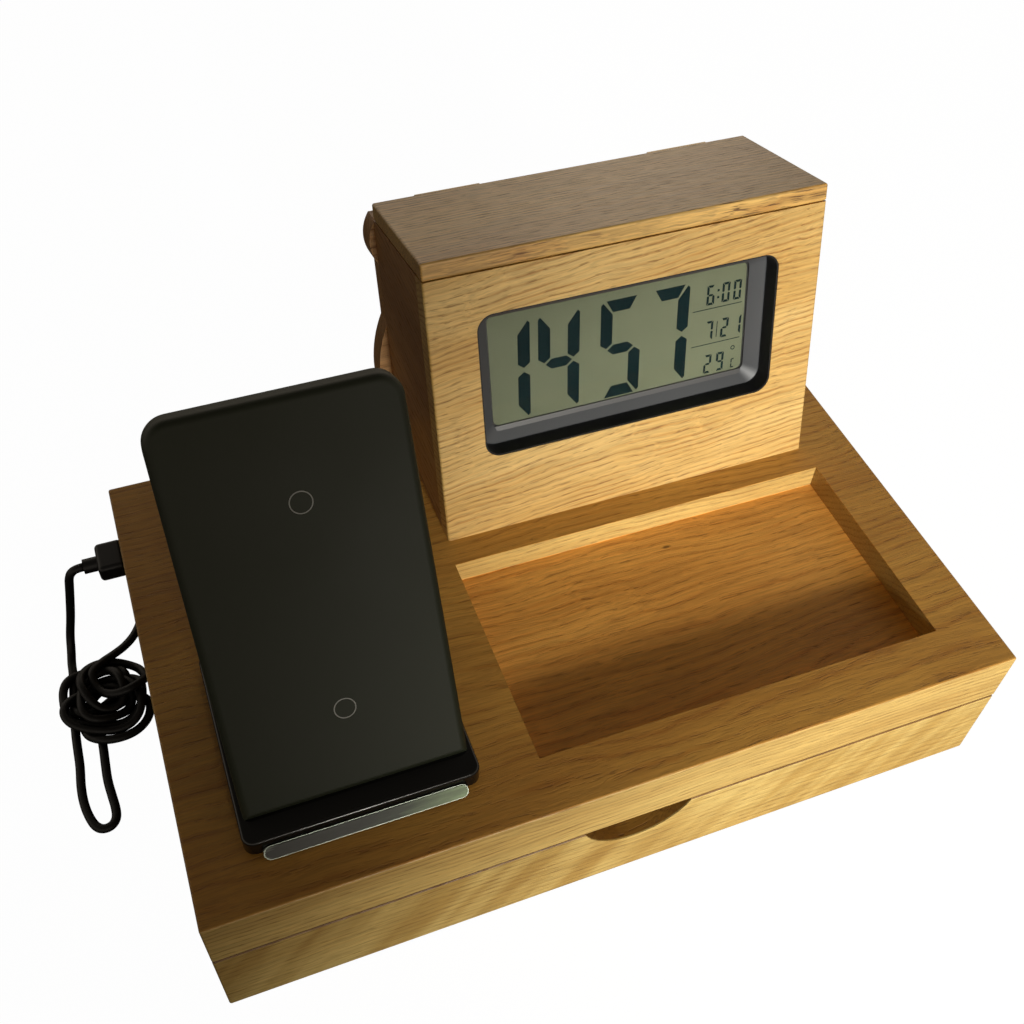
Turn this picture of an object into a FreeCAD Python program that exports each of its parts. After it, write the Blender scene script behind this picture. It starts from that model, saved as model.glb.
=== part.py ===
"""Oak desk valet box: a drawer case with a coin tray, a leaning clock housing and a phone charging stand.

Millimetres, +Z up. X runs left to right and Y front to back, with the origin at the centre of the
underside. Every driving size is a cell of the sheet. WORKED_OUT names the places that follow from them.
Blocks that cut run 1 mm past the faces they cut through.
"""
import FreeCAD, Part
import Sketcher
import math
import os
import re

# ---------------------------------------------------------------- driving sizes

SIZES = {
    # case: oak boards, felt under it
    "base_width": 300, "base_depth": 190, "case_height": 64.5, "felt_thick": 1, "felt_inset": 3,
    "slab_thick": 25, "wall_thick": 10, "floor_thick": 6, "edge_ease": 0.9,
    # tray cut into the slab
    "tray_width": 159.5, "tray_length": 88, "tray_depth": 10.8, "tray_setback": 20.5, "tray_inset": 21.75,
    # drawer and what carries it
    "front_thick": 12, "front_gap": 0.7, "front_back_gap": 0.5, "pull_chord": 41, "pull_depth": 14,
    "drawer_side_gap": 1, "drawer_top_gap": 1.5, "drawer_floor_gap": 1, "drawer_back_gap": 2,
    "drawer_side_thick": 8, "drawer_back_thick": 8, "drawer_floor_thick": 4, "drawer_floor_rise": 4,
    "groove_depth": 4, "groove_gap": 0.2, "lining_thick": 1.5, "lining_gap": 0.4,
    "runner_height": 8, "runner_bite": 4, "runner_gap": 0.3, "runner_rise": 13,
    "runner_setback": 14, "runner_tail": 6,
    "stop_width": 60, "stop_length": 8, "stop_drop": 3.5, "stop_setback": 47,
    "dowel_radius": 2, "dowel_bite": 8, "dowel_gap": 0.1, "dowel_low": 10, "dowel_high": 22,
    # clock housing, in its own leaning frame
    "housing_inset": 23, "housing_foot": 69.7, "housing_lean": 14.3,
    "housing_width": 157, "housing_height": 115.6, "housing_depth": 62.3,
    "panel_thick": 8, "side_thick": 8, "lid_thick": 6.5, "lid_gap": 0.3,
    "window_side": 18.1, "window_above": 16.4, "window_rise": 33.4, "window_radius": 6.5,
    "back_thick": 10, "back_waist": 0.5, "upper_lobe": 2.6, "upper_lobe_level": 99.5,
    "upper_lobe_half": 9.6, "lower_lobe": 5.2, "lower_lobe_level": 42, "lower_lobe_half": 24,
    "shelf_thick": 6, "shelf_clear": 0.2, "cleat_width": 12, "cleat_depth": 8, "cleat_height": 26,
    # lid hinges
    "leaf_length": 26, "leaf_thick": 1, "leaf_reach": 8.2, "leaf_edge": 0.3,
    "knuckle_radius": 1.8, "knuckle_wide": 5.4, "knuckle_gap": 0.3, "pin_radius": 0.9, "pin_gap": 0.05,
    "hinge_inset": 30, "tack_radius": 0.8, "tack_head_radius": 1.6, "tack_head_thick": 0.5,
    "tack_length": 6, "tack_gap": 0.1, "tack_spread": 10.6,
    # clock module
    "clock_margin": 4, "clock_depth": 24, "clock_corner": 8, "bezel_thick": 5, "lcd_margin": 6.5,
    "bevel_depth": 2.2, "bezel_lip": 0.6, "glass_thick": 1.2, "glass_overlap": 2.4, "glass_gap": 0.2,
    "lcd_thick": 2.6, "board_thick": 1.6, "clock_wall": 2.4, "board_inset": 3,
    "post_radius": 2.5, "post_inset": 7, "button_stem_radius": 1.2,
    "cell_radius": 5.2, "cell_length": 43.5, "cell_nub": 1, "cell_nub_radius": 1.9, "cell_gap": 0.3,
    "bay_wall": 1.5, "bay_rise": 6, "contact_thick": 0.6, "door_thick": 1.4, "door_gap": 0.3,
    "door_lap": 2,
    "button_width": 9, "button_height": 5, "button_proud": 1.6, "button_gap": 0.3, "button_flange": 1,
    "button_pitch": 17, "button_drop": 11, "button_travel": 0.8, "switch_height": 3,
    "stem_gap": 0.1, "flange_gap": 0.15,
    # phone charging stand
    "charger_inset": 58, "pad_width": 75, "pad_height": 133, "ledge_deep": 7.8, "pad_rise": 8,
    "pad_lean": 27.3, "pad_corner": 8, "cover_thick": 3, "cover_round": 2.6, "shell_thick": 7,
    "shell_wall": 1.6, "shell_round": 3, "coil_radius": 21, "coil_hole": 9, "coil_thick": 1.5,
    "coil_low": 38, "coil_high": 91, "ferrite_thick": 0.8, "ferrite_margin": 2,
    "foot_width": 79, "foot_length": 76, "foot_setback": 18.4, "foot_wall": 1.6, "foot_corner": 4,
    "foot_round": 1.2, "foot_rubber": 1.2, "foot_rubber_radius": 5, "foot_rubber_inset": 9,
    "leg_width": 42, "leg_thick": 7, "leg_height": 74, "leg_lean": 24, "leg_inset": 3,
    "lip_length": 68, "lip_deep": 3.2, "lip_height": 4, "lip_lift": 0.6,
    "charge_board_width": 46, "charge_board_length": 30, "charge_board_setback": 12,
    "boss_height": 1.4, "boss_radius": 2.2, "boss_inset": 3,
    # side power socket and the lead inside the slab
    "socket_inset": 22, "socket_drop": 17, "socket_wide": 16, "socket_high": 10, "socket_deep": 18,
    "socket_fit": 0.1, "mouth_wide": 12.6, "mouth_high": 5, "mouth_deep": 13, "tongue_wide": 11,
    "tongue_thick": 1.8, "tongue_setback": 1.5,
    "inner_lead_radius": 1.5, "groove_clear": 0.5, "inner_bend": 10,
    "strip_thick": 3, "strip_gap": 0.15, "strip_setback": 1,
    # plug and cord outside
    "plug_wide": 14.5, "plug_high": 8, "plug_long": 10.5, "plug_round": 1.8, "plug_shell_thick": 4.5,
    "plug_shell_wide": 12, "plug_shell_long": 11.7, "plug_shell_wall": 0.35, "wall_clear": 0.3,
    "relief_radius": 3, "relief_long": 5.4,
    "cord_radius": 1.75, "bundle_wide": 31, "bundle_long": 38, "bundle_high": 13, "bundle_round": 2.5,
    "far_plug_long": 20, "far_shell_long": 12,
}

# places that follow from the driving sizes
WORKED_OUT = {
    "left": "-base_width / 2",
    "front": "-base_depth / 2",
    "under": "felt_thick",
    "top": "felt_thick + case_height",
    "slab_under": "top - slab_thick",
    "case_front": "front + front_thick + front_back_gap",
    "case_length": "base_depth - front_thick - front_back_gap",
    "inner_width": "base_width - 2 * wall_thick",
    "inner_back": "front + base_depth - wall_thick",
    "floor_top": "under + floor_thick",
    "drawer_width": "inner_width - 2 * drawer_side_gap",
    "drawer_under": "floor_top + drawer_floor_gap",
    "drawer_side_height": "slab_under - drawer_top_gap - drawer_under",
    "drawer_front_back": "front + front_thick",
    "drawer_back_end": "inner_back - drawer_back_gap",
    "drawer_length": "drawer_back_end - drawer_front_back",
    "drawer_inner_width": "drawer_width - 2 * drawer_side_thick",
    "drawer_inner_length": "drawer_length - drawer_back_thick",
    "drawer_floor_under": "drawer_under + drawer_floor_rise",
    "runner_under": "drawer_under + runner_rise",
    "runner_length": "case_length - wall_thick - runner_setback - runner_tail",
    "runner_thick": "drawer_side_gap + runner_bite",
    "stop_back": "case_front + stop_setback + stop_length",
    "body_height": "housing_height - lid_thick - lid_gap",
    "housing_left": "base_width / 2 - housing_inset - housing_width",
    "inner_housing": "housing_width - 2 * side_thick",
    "window_left": "window_side",
    "window_width": "housing_width - 2 * window_side",
    "window_height": "body_height - window_rise - window_above",
    "clock_left": "window_left - clock_margin",
    "clock_under": "window_rise - clock_margin",
    "clock_width": "window_width + 2 * clock_margin",
    "clock_height": "window_height + 2 * clock_margin",
    "clock_back": "panel_thick + clock_depth",
    "lcd_width": "window_width - 2 * lcd_margin",
    "lcd_height": "window_height - 2 * lcd_margin",
    "lcd_left": "window_left + lcd_margin",
    "lcd_under": "window_rise + lcd_margin",
    "glass_front": "panel_thick + bevel_depth + bezel_lip",
    "lcd_front": "glass_front + glass_thick",
    "board_front": "lcd_front + lcd_thick",
    "board_back": "board_front + board_thick",
    "case_shell_front": "panel_thick + bezel_thick",
    "case_inner_back": "clock_back - clock_wall",
    "bay_width": "cell_length + cell_nub + 2 * contact_thick + 2 * cell_gap",
    "bay_height": "4 * cell_radius + 3 * cell_gap",
    "bay_depth": "2 * cell_radius + 2 * cell_gap",
    "bay_floor": "clock_back - door_thick - bay_depth",
    "bay_left": "(housing_width - bay_width) / 2",
    "bay_under": "clock_under + bay_rise",
    "button_level": "clock_under + clock_height - button_drop",
    "switch_back": "board_back + switch_height",
    "hinge_y": "housing_depth + leaf_thick + knuckle_gap + knuckle_radius",
    "hinge_z": "body_height + leaf_thick + knuckle_gap + knuckle_radius",
    "charger_centre": "left + charger_inset",
    "head_thick": "cover_thick + shell_thick",
    "foot_under": "top + foot_rubber",
    "foot_height": "pad_rise - foot_rubber",
    "foot_front": "front + foot_setback",
    "charge_board_top": "top + pad_rise - foot_wall - boss_height",
    "socket_y": "front + base_depth - socket_inset",
    "socket_z": "top - socket_drop",
    "riser_y": "foot_front + charge_board_setback + charge_board_length / 2",
}

# (x, z) of the posts that hold the clock's board
POST_PLACES = [(x, z)
               for x in ("clock_left + clock_wall + post_inset",
                         "clock_left + clock_width - clock_wall - post_inset")
               for z in ("clock_under + clock_wall + post_inset",
                         "clock_under + clock_height - clock_wall - post_inset")]
# (x, y) of the bosses over the stand's circuit board, and of the stand's rubber feet
BOSS_PLACES = [(f"charger_centre {sign} (charge_board_width / 2 - boss_inset)", y)
               for sign in "-+"
               for y in ("foot_front + charge_board_setback + boss_inset",
                         "foot_front + charge_board_setback + charge_board_length - boss_inset")]
FOOT_PAD_PLACES = [(f"charger_centre {sign} (foot_width / 2 - foot_rubber_inset)", y)
                   for sign in "-+"
                   for y in ("foot_front + foot_rubber_inset",
                             "foot_front + foot_length - foot_rubber_inset")]
# (x, z) of the four dowels that join the drawer's sides to its front
DOWEL_PLACES = [(f"{sign}(drawer_width / 2 - drawer_side_thick / 2)", f"drawer_under + {level}")
                for sign in ("-", "+") for level in ("dowel_low", "dowel_high")]

FUNCTIONS = {"sin", "cos", "tan", "sqrt"}

os.makedirs("parts", exist_ok=True)
doc = FreeCAD.newDocument("valet_box")
sheet = doc.addObject("Spreadsheet::Sheet", "sizes")
for row, (alias, number) in enumerate(SIZES.items(), start=1):
    sheet.set(f"A{row}", alias)
    sheet.set(f"B{row}", str(number))
    sheet.setAlias(f"B{row}", alias)
doc.recompute()

nodes = []


# ---------------------------------------------------------------- small helpers

def formula(text):
    """Point every size in a formula at its cell, and open up the worked-out names."""
    def swap(match):
        word = match.group(0)
        if word in FUNCTIONS:
            return word
        if word in WORKED_OUT:
            return "(" + formula(WORKED_OUT[word]) + ")"
        return "sizes." + word
    return re.sub(r"[a-z_][a-z_0-9]*", swap, str(text))


def value(text):
    """The number that a formula comes to."""
    return float(sheet.evalExpression(formula(text)))


def bind(thing, **formulas):
    for prop, text in formulas.items():
        thing.setExpression(prop, formula(text))


def place(thing, x, y, z):
    for axis, text in zip("xyz", (x, y, z)):
        thing.setExpression("Placement.Base." + axis, formula(text))


def turn(thing, axis, angle):
    """Turn an object about one of its axes by an angle that may follow the sheet."""
    thing.Placement = FreeCAD.Placement(FreeCAD.Vector(), FreeCAD.Rotation(FreeCAD.Vector(*axis), 10))
    thing.setExpression("Placement.Rotation.Angle", formula(angle))


def box(name, size, at):
    block = doc.addObject("Part::Box", name)
    bind(block, Length=size[0], Width=size[1], Height=size[2])
    place(block, *at)
    return block


def rod(name, radius, length, at, along="z"):
    """A cylinder that starts at a point and runs along +X, +Y or +Z."""
    post = doc.addObject("Part::Cylinder", name)
    if along == "x":
        turn(post, (0, 1, 0), 90)
    if along == "y":
        turn(post, (1, 0, 0), -90)
    bind(post, Radius=radius, Height=length)
    place(post, *at)
    return post


def join(name, *pieces):
    whole = doc.addObject("Part::MultiFuse", name)
    whole.Shapes = list(pieces)
    whole.Refine = True
    return whole


def group(name, *pieces):
    """Separate like solids kept in one node."""
    bundle = doc.addObject("Part::Compound", name)
    bundle.Links = list(pieces)
    return bundle


def cut(name, body, *tools):
    result = doc.addObject("Part::Cut", name)
    result.Base = body
    result.Tool = tools[0] if len(tools) == 1 else join(name + "_tools", *tools)
    return result


def rounded(name, body, radius, wanted):
    """Round the edges that a test picks out, given each edge's middle and direction."""
    doc.recompute()
    amount = value(radius)
    chosen = []
    for number, edge in enumerate(body.Shape.Edges, start=1):
        if edge.Curve.TypeId != "Part::GeomLine":
            continue
        way = edge.tangentAt(edge.FirstParameter)
        middle = edge.valueAt((edge.FirstParameter + edge.LastParameter) / 2)
        if wanted(middle, way):
            chosen.append((number, amount, amount))
    smooth = doc.addObject("Part::Fillet", name)
    smooth.Base = body
    smooth.Edges = chosen
    return smooth


def all_edges(middle, way):
    return True


def upright_edges(middle, way):
    return abs(way.z) > 0.9


def deep_edges(middle, way):
    return abs(way.y) > 0.9


def finished(node, thing):
    """Name a sub-part after its node and list it for export."""
    thing.Label = node
    nodes.append((node, thing))
    return thing


# the two leaning frames: how far each leans back, and where its front bottom corner or middle stands
HOUSING = ("housing_lean", ("housing_left", "front + base_depth - housing_foot", "top"))
PAD = ("pad_lean", ("charger_centre", "foot_front + ledge_deep", "top + pad_rise"))


def lean(thing, frame):
    """Stand a piece made in a leaning frame where it belongs."""
    angle, foot = frame
    turn(thing, (1, 0, 0), "-" + angle)
    place(thing, *foot)
    return thing


def in_housing(thing):
    return lean(thing, HOUSING)


def in_pad(thing):
    return lean(thing, PAD)


def leaning_box(name, size, at, frame):
    """A block placed straight into a leaning frame."""
    angle, foot = frame
    block = doc.addObject("Part::Box", name)
    bind(block, Length=size[0], Width=size[1], Height=size[2])
    turn(block, (1, 0, 0), "-" + angle)
    x, y, z = at
    place(block, f"{foot[0]} + {x}",
          f"{foot[1]} + ({y}) * cos({angle}) + ({z}) * sin({angle})",
          f"{foot[2]} - ({y}) * sin({angle}) + ({z}) * cos({angle})")
    return block


def new_body(name):
    return doc.addObject("PartDesign::Body", name)


def new_sketch(body, role, name, lift=None):
    plane = next(part for part in body.Origin.OriginFeatures if part.Role == role)
    sketch = body.newObject("Sketcher::SketchObject", name)
    sketch.AttachmentSupport = [(plane, "")]
    sketch.MapMode = "FlatFace"
    if lift:
        sketch.setExpression("AttachmentOffset.Base.z", formula(lift))
    return sketch


def tie(sketch, kind, where, text):
    """Add one size to a sketch and bind it to its formula."""
    number = sketch.addConstraint(Sketcher.Constraint(kind, *where, value(text)))
    sketch.setExpression(f"Constraints[{number}]", formula(text))


def rectangle(sketch, wide, high, off_x=None, off_y=None):
    """A rectangle tied to the sketch's origin, at it or off from it."""
    x0 = value(off_x) if off_x else 0
    y0 = value(off_y) if off_y else 0
    x1, y1 = x0 + value(wide), y0 + value(high)
    corners = [FreeCAD.Vector(x, y, 0) for x, y in ((x0, y0), (x1, y0), (x1, y1), (x0, y1))]
    sides = [Part.LineSegment(corners[i], corners[(i + 1) % 4]) for i in range(4)]
    first = sketch.addGeometry(sides)[0]
    for i in range(4):
        sketch.addConstraint(Sketcher.Constraint("Coincident", first + i, 2, first + (i + 1) % 4, 1))
    for i, kind in enumerate(("Horizontal", "Vertical", "Horizontal", "Vertical")):
        sketch.addConstraint(Sketcher.Constraint(kind, first + i))
    if off_x:
        tie(sketch, "DistanceX", (-1, 1, first, 1), off_x)
        tie(sketch, "DistanceY", (-1, 1, first, 1), off_y)
    else:
        sketch.addConstraint(Sketcher.Constraint("Coincident", first, 1, -1, 1))
    tie(sketch, "DistanceX", (first, 1, first, 2), wide)
    tie(sketch, "DistanceY", (first + 1, 1, first + 1, 2), high)


def pad(body, sketch, name, length, backwards=False):
    feature = body.newObject("PartDesign::Pad", name)
    feature.Profile = sketch
    feature.Reversed = backwards
    bind(feature, Length=length)
    return feature


def pocket(body, sketch, name, length, backwards=False):
    feature = body.newObject("PartDesign::Pocket", name)
    feature.Profile = sketch
    feature.Reversed = backwards
    bind(feature, Length=length)
    return feature


def ease(body, feature, name, radius, wanted):
    """A PartDesign fillet on the straight edges that a test picks out."""
    doc.recompute()
    chosen = []
    for number, edge in enumerate(feature.Shape.Edges, start=1):
        if edge.Curve.TypeId != "Part::GeomLine":
            continue
        way = edge.tangentAt(edge.FirstParameter)
        middle = edge.valueAt((edge.FirstParameter + edge.LastParameter) / 2)
        if wanted(middle, way):
            chosen.append(f"Edge{number}")
    smooth = body.newObject("PartDesign::Fillet", name)
    smooth.Base = (feature, chosen)
    bind(smooth, Radius=radius)
    return smooth


# ---------------------------------------------------------------- the case

def make_slab():
    """The thick oak top: a tray let into it, and underneath it the way for the stand's lead."""
    body = new_body("slab_body")
    outline = new_sketch(body, "XY_Plane", "slab_outline")
    rectangle(outline, "base_width", "base_depth")
    block = pad(body, outline, "slab_block", "slab_thick")
    corner_edges = ease(body, block, "slab_eased", "edge_ease", all_edges)
    tray = new_sketch(body, "XY_Plane", "tray_outline", "slab_thick")
    rectangle(tray, "tray_width", "tray_length", "base_width - tray_inset - tray_width", "tray_setback")
    pocket(body, tray, "tray_recess", "tray_depth")
    body.Tip = body.Group[-1]
    place(body, "left", "front", "slab_under")
    clear = "(inner_lead_radius + groove_clear)"
    socket_pocket = box("socket_pocket",
                        ("socket_deep + 2 * socket_fit", "socket_wide + 2 * socket_fit",
                         "socket_z + socket_high / 2 + socket_fit - slab_under + 1"),
                        ("left - socket_fit", "socket_y - socket_wide / 2 - socket_fit", "slab_under - 1"))
    across = box("groove_across",
                 ("charger_centre - left - socket_deep + " + clear, "2 * " + clear,
                  "socket_z + " + clear + " - slab_under + 1"),
                 ("left + socket_deep", "socket_y - " + clear, "slab_under - 1"))
    along = box("groove_along",
                ("2 * " + clear, "socket_y - riser_y + 2 * " + clear,
                 "socket_z + " + clear + " - slab_under + 1"),
                ("charger_centre - " + clear, "riser_y - " + clear, "slab_under - 1"))
    corner = box("groove_corner",
                 ("inner_bend + 2 * " + clear, "inner_bend + 2 * " + clear,
                  "socket_z + " + clear + " - slab_under + 1"),
                 ("charger_centre - inner_bend - " + clear, "socket_y - inner_bend - " + clear,
                  "slab_under - 1"))
    rise = box("groove_rise", ("2 * " + clear, "inner_bend + 2 * " + clear, "inner_bend + 2 * " + clear),
               ("charger_centre - " + clear, "riser_y - " + clear, "socket_z - " + clear))
    riser = rod("lead_riser", clear, "top - socket_z + 1", ("charger_centre", "riser_y", "socket_z"))
    finished("top_slab", cut("slab_cut", body, socket_pocket, across, along, corner, rise, riser))


def make_case():
    side_size = ("wall_thick", "case_length", "slab_under - under")
    for node, at in (("case_side_left", "left"), ("case_side_right", "-left - wall_thick")):
        plain = box(node + "_board", side_size, (at, "case_front", "under"))
        finished(node, rounded(node + "_eased", plain, "edge_ease", upright_edges))
    back = box("case_back_board", ("inner_width", "wall_thick", "slab_under - under"),
               ("left + wall_thick", "inner_back", "under"))
    finished("case_back", back)
    floor = box("case_floor_board", ("inner_width", "case_length - wall_thick", "floor_thick"),
                ("left + wall_thick", "case_front", "under"))
    finished("case_bottom", floor)
    felt = box("base_felt_sheet",
               ("base_width - 2 * felt_inset", "case_length - 2 * felt_inset", "felt_thick"),
               ("left + felt_inset", "case_front + felt_inset", "0"))
    finished("base_felt", felt)


def make_runners():
    size = ("runner_thick", "runner_length", "runner_height")
    back_from = "case_front + runner_setback"
    finished("runner_left", box("runner_left_strip", size, ("left + wall_thick", back_from, "runner_under")))
    finished("runner_right", box("runner_right_strip", size,
                                 ("-left - wall_thick - runner_thick", back_from, "runner_under")))
    stop = box("stop_strip", ("stop_width", "stop_length", "stop_drop"),
               ("-stop_width / 2", "stop_back - stop_length", "slab_under - stop_drop"))
    finished("drawer_stop", stop)


# ---------------------------------------------------------------- the drawer

def make_drawer_front():
    """The full-width front. Its finger pull is a half-moon sawn out of the top edge."""
    body = new_body("drawer_front_body")
    outline = new_sketch(body, "XY_Plane", "drawer_front_outline")
    rectangle(outline, "base_width", "front_thick")
    block = pad(body, outline, "drawer_front_block", "slab_under - front_gap - under")
    ease(body, block, "drawer_front_eased", "edge_ease", all_edges)
    body.Tip = body.Group[-1]
    place(body, "left", "front", "under")
    moon_radius = "((pull_chord * pull_chord / 4 + pull_depth * pull_depth) / (2 * pull_depth))"
    moon = rod("pull_moon", moon_radius, "front_thick + 2",
               ("0", "front - 1", "slab_under - front_gap - pull_depth + " + moon_radius), "y")
    groove = box("front_groove",
                 ("drawer_inner_width + 2 * groove_depth", "groove_depth + 1",
                  "drawer_floor_thick + 2 * groove_gap"),
                 ("-drawer_inner_width / 2 - groove_depth", "drawer_front_back - groove_depth",
                  "drawer_floor_under - groove_gap"))
    holes = [rod(f"front_dowel_hole_{number}", "dowel_radius + dowel_gap", "dowel_bite + dowel_gap",
                 (x, "drawer_front_back - dowel_bite - dowel_gap", z), "y")
             for number, (x, z) in enumerate(DOWEL_PLACES)]
    finished("drawer_front", cut("drawer_front_cut", body, moon, groove, *holes))


def make_drawer_sides():
    """Sides with a groove inside for the floor and one outside that runs on the case's strip."""
    for side, sign in (("left", -1), ("right", 1)):
        outer = f"{sign} * drawer_width / 2"
        corner = outer if sign < 0 else outer + " - drawer_side_thick"
        board = box(f"drawer_{side}_board", ("drawer_side_thick", "drawer_length", "drawer_side_height"),
                    (corner, "drawer_front_back", "drawer_under"))
        floor_groove_x = f"{sign} * drawer_inner_width / 2" + (" - 1" if sign > 0 else " - groove_depth")
        floor_groove = box(f"drawer_{side}_floor_groove",
                           ("groove_depth + 1", "drawer_inner_length + groove_depth + 1",
                            "drawer_floor_thick + 2 * groove_gap"),
                           (floor_groove_x, "drawer_front_back - 1", "drawer_floor_under - groove_gap"))
        run_depth = "runner_bite + runner_gap"
        run_x = outer + (" - 1" if sign < 0 else " - (" + run_depth + ")")
        run_groove = box(f"drawer_{side}_runner_groove",
                         (run_depth + " + 1", "drawer_length", "runner_height + 2 * runner_gap"),
                         (run_x, "case_front + runner_setback - runner_gap - front_back_gap",
                          "runner_under - runner_gap"))
        holes = [rod(f"drawer_{side}_dowel_hole_{number}", "dowel_radius + dowel_gap",
                     "dowel_bite + dowel_gap", (x, "drawer_front_back", z), "y")
                 for number, (x, z) in enumerate(DOWEL_PLACES) if x.startswith("-") == (sign < 0)]
        finished(f"drawer_side_{side}",
                 cut(f"drawer_{side}_cut", board, floor_groove, run_groove, *holes))


def make_drawer_inside():
    back = box("drawer_back_board", ("drawer_inner_width", "drawer_back_thick", "drawer_side_height"),
               ("-drawer_inner_width / 2", "drawer_back_end - drawer_back_thick", "drawer_under"))
    groove = box("drawer_back_groove",
                 ("drawer_inner_width", "groove_depth + 1", "drawer_floor_thick + 2 * groove_gap"),
                 ("-drawer_inner_width / 2", "drawer_back_end - drawer_back_thick - 1",
                  "drawer_floor_under - groove_gap"))
    finished("drawer_back", cut("drawer_back_cut", back, groove))
    reach = "(groove_depth - groove_gap)"
    floor = box("drawer_floor_board",
                ("drawer_inner_width + 2 * " + reach, "drawer_inner_length + 2 * " + reach,
                 "drawer_floor_thick"),
                ("-drawer_inner_width / 2 - " + reach, "drawer_front_back - " + reach,
                 "drawer_floor_under"))
    finished("drawer_bottom", floor)
    lining = box("drawer_lining_sheet",
                 ("drawer_inner_width - 2 * lining_gap", "drawer_inner_length - 2 * lining_gap",
                  "lining_thick"),
                 ("-drawer_inner_width / 2 + lining_gap", "drawer_front_back + lining_gap",
                  "drawer_floor_under + drawer_floor_thick"))
    finished("drawer_lining", lining)
    dowels = [rod(f"drawer_dowel_{number}", "dowel_radius", "2 * dowel_bite",
                  (x, "drawer_front_back - dowel_bite", z), "y")
              for number, (x, z) in enumerate(DOWEL_PLACES)]
    finished("drawer_dowels", group("drawer_dowel_set", *dowels))


# ---------------------------------------------------------------- the leaning clock housing

def floor_cutter(name):
    """What lies below the slab's top, seen from the leaning frame."""
    block = doc.addObject("Part::Box", name)
    bind(block, Length="3 * housing_width", Width="3 * housing_depth", Height="housing_height")
    turn(block, (1, 0, 0), "housing_lean")
    drop = "housing_height"
    place(block, "-housing_width", drop + " * sin(housing_lean) - housing_depth * cos(housing_lean)",
          "-" + drop + " * cos(housing_lean) - housing_depth * sin(housing_lean)")
    return block


def make_housing_front():
    """The front board, with a round-cornered window for the clock."""
    body = new_body("housing_front_body")
    outline = new_sketch(body, "XY_Plane", "housing_front_outline")
    rectangle(outline, "housing_width", "panel_thick")
    block = pad(body, outline, "housing_front_block", "body_height")
    window = new_sketch(body, "XZ_Plane", "window_outline")
    rectangle(window, "window_width", "window_height", "window_left", "window_rise")
    hole = pocket(body, window, "window_opening", "panel_thick")
    wide = value("housing_width")
    corners = ease(body, hole, "window_corners", "window_radius",
                   lambda middle, way: abs(way.y) > 0.9 and 0.01 < middle.x < wide - 0.01)
    ease(body, corners, "housing_front_eased", "edge_ease",
         lambda middle, way: middle.y < 0.01 and abs(way.z) > 0.9
         and not 0.01 < middle.x < wide - 0.01)
    body.Tip = body.Group[-1]
    finished("housing_front", in_housing(cut("housing_front_cut", body, floor_cutter("front_floor"))))


def make_housing_sides():
    for side, at in (("left", "0"), ("right", "housing_width - side_thick")):
        board = box(f"housing_{side}_board",
                    ("side_thick", "housing_depth - panel_thick", "body_height"),
                    (at, "panel_thick", "0"))
        finished(f"housing_side_{side}",
                 in_housing(cut(f"housing_{side}_cut", board, floor_cutter(f"{side}_floor"))))


def make_housing_back():
    """The back board. Each side edge swells into a small lobe at the top and a longer one below."""
    wide, deep, thick = value("housing_width"), value("housing_depth"), value("back_thick")
    waist = value("back_waist")
    high = value("body_height")
    upper, upper_out = value("upper_lobe_level"), value("upper_lobe")
    upper_half = min(value("upper_lobe_half"), high - upper)
    lower, lower_out, lower_half = (value(size) for size in
                                    ("lower_lobe_level", "lower_lobe", "lower_lobe_half"))
    # (height where the edge swells out, height where it is widest, where it comes back, how far it swells)
    lobes = ((lower - lower_half, lower, lower + lower_half, lower_out),
             (upper - upper_half, upper, upper + upper_half, upper_out))

    def side_edge(side):
        """The board's edge from bottom to top, for x on the left (-1) or on the right (1)."""
        def point(out, level):
            x = waist - out if side < 0 else wide - waist + out
            return FreeCAD.Vector(x, deep, level)
        edges, here = [], point(0, 0)
        for start, middle, end, out in lobes:
            edges.append(Part.LineSegment(here, point(0, start)).toShape())
            edges.append(Part.Arc(point(0, start), point(out + waist, middle), point(0, end)).toShape())
            here = point(0, end)
        if high - here.z > 0.01:
            edges.append(Part.LineSegment(here, point(0, high)).toShape())
        return edges, point(0, 0), point(0, high)

    left_edges, left_foot, left_top = side_edge(-1)
    right_edges, right_foot, right_top = side_edge(1)
    rim = left_edges + [Part.LineSegment(left_top, right_top).toShape()] + right_edges
    rim.append(Part.LineSegment(left_foot, right_foot).toShape())
    outline = Part.Wire(Part.__sortEdges__(rim))
    board = doc.addObject("Part::Feature", "housing_back_board")
    board.Shape = Part.Face(outline).extrude(FreeCAD.Vector(0, thick, 0))
    holes = tack_holes("back")
    finished("housing_back", in_housing(cut("housing_back_cut", board, floor_cutter("back_floor"), *holes)))


def make_lid():
    board = box("lid_board", ("housing_width", "housing_depth", "lid_thick"),
                ("0", "0", "body_height + lid_gap"))
    eased = rounded("lid_eased", board, "edge_ease", all_edges)
    finished("housing_lid", in_housing(cut("lid_cut", eased, *tack_holes("lid"))))


# ---------------------------------------------------------------- the lid's two butt hinges

HINGES = {"left": "hinge_inset", "right": "housing_width - hinge_inset"}
TACK_SIDES = ("-tack_spread", "tack_spread")


def tack_point(hinge, shift, leaf):
    """Where a leaf's screw enters the wood: the lid's back edge, or the back board's top."""
    x = HINGES[hinge] + " + " + shift
    if leaf == "lid":
        return (x, "housing_depth", "body_height + lid_gap + lid_thick / 2")
    return (x, "housing_depth", "body_height")


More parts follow.
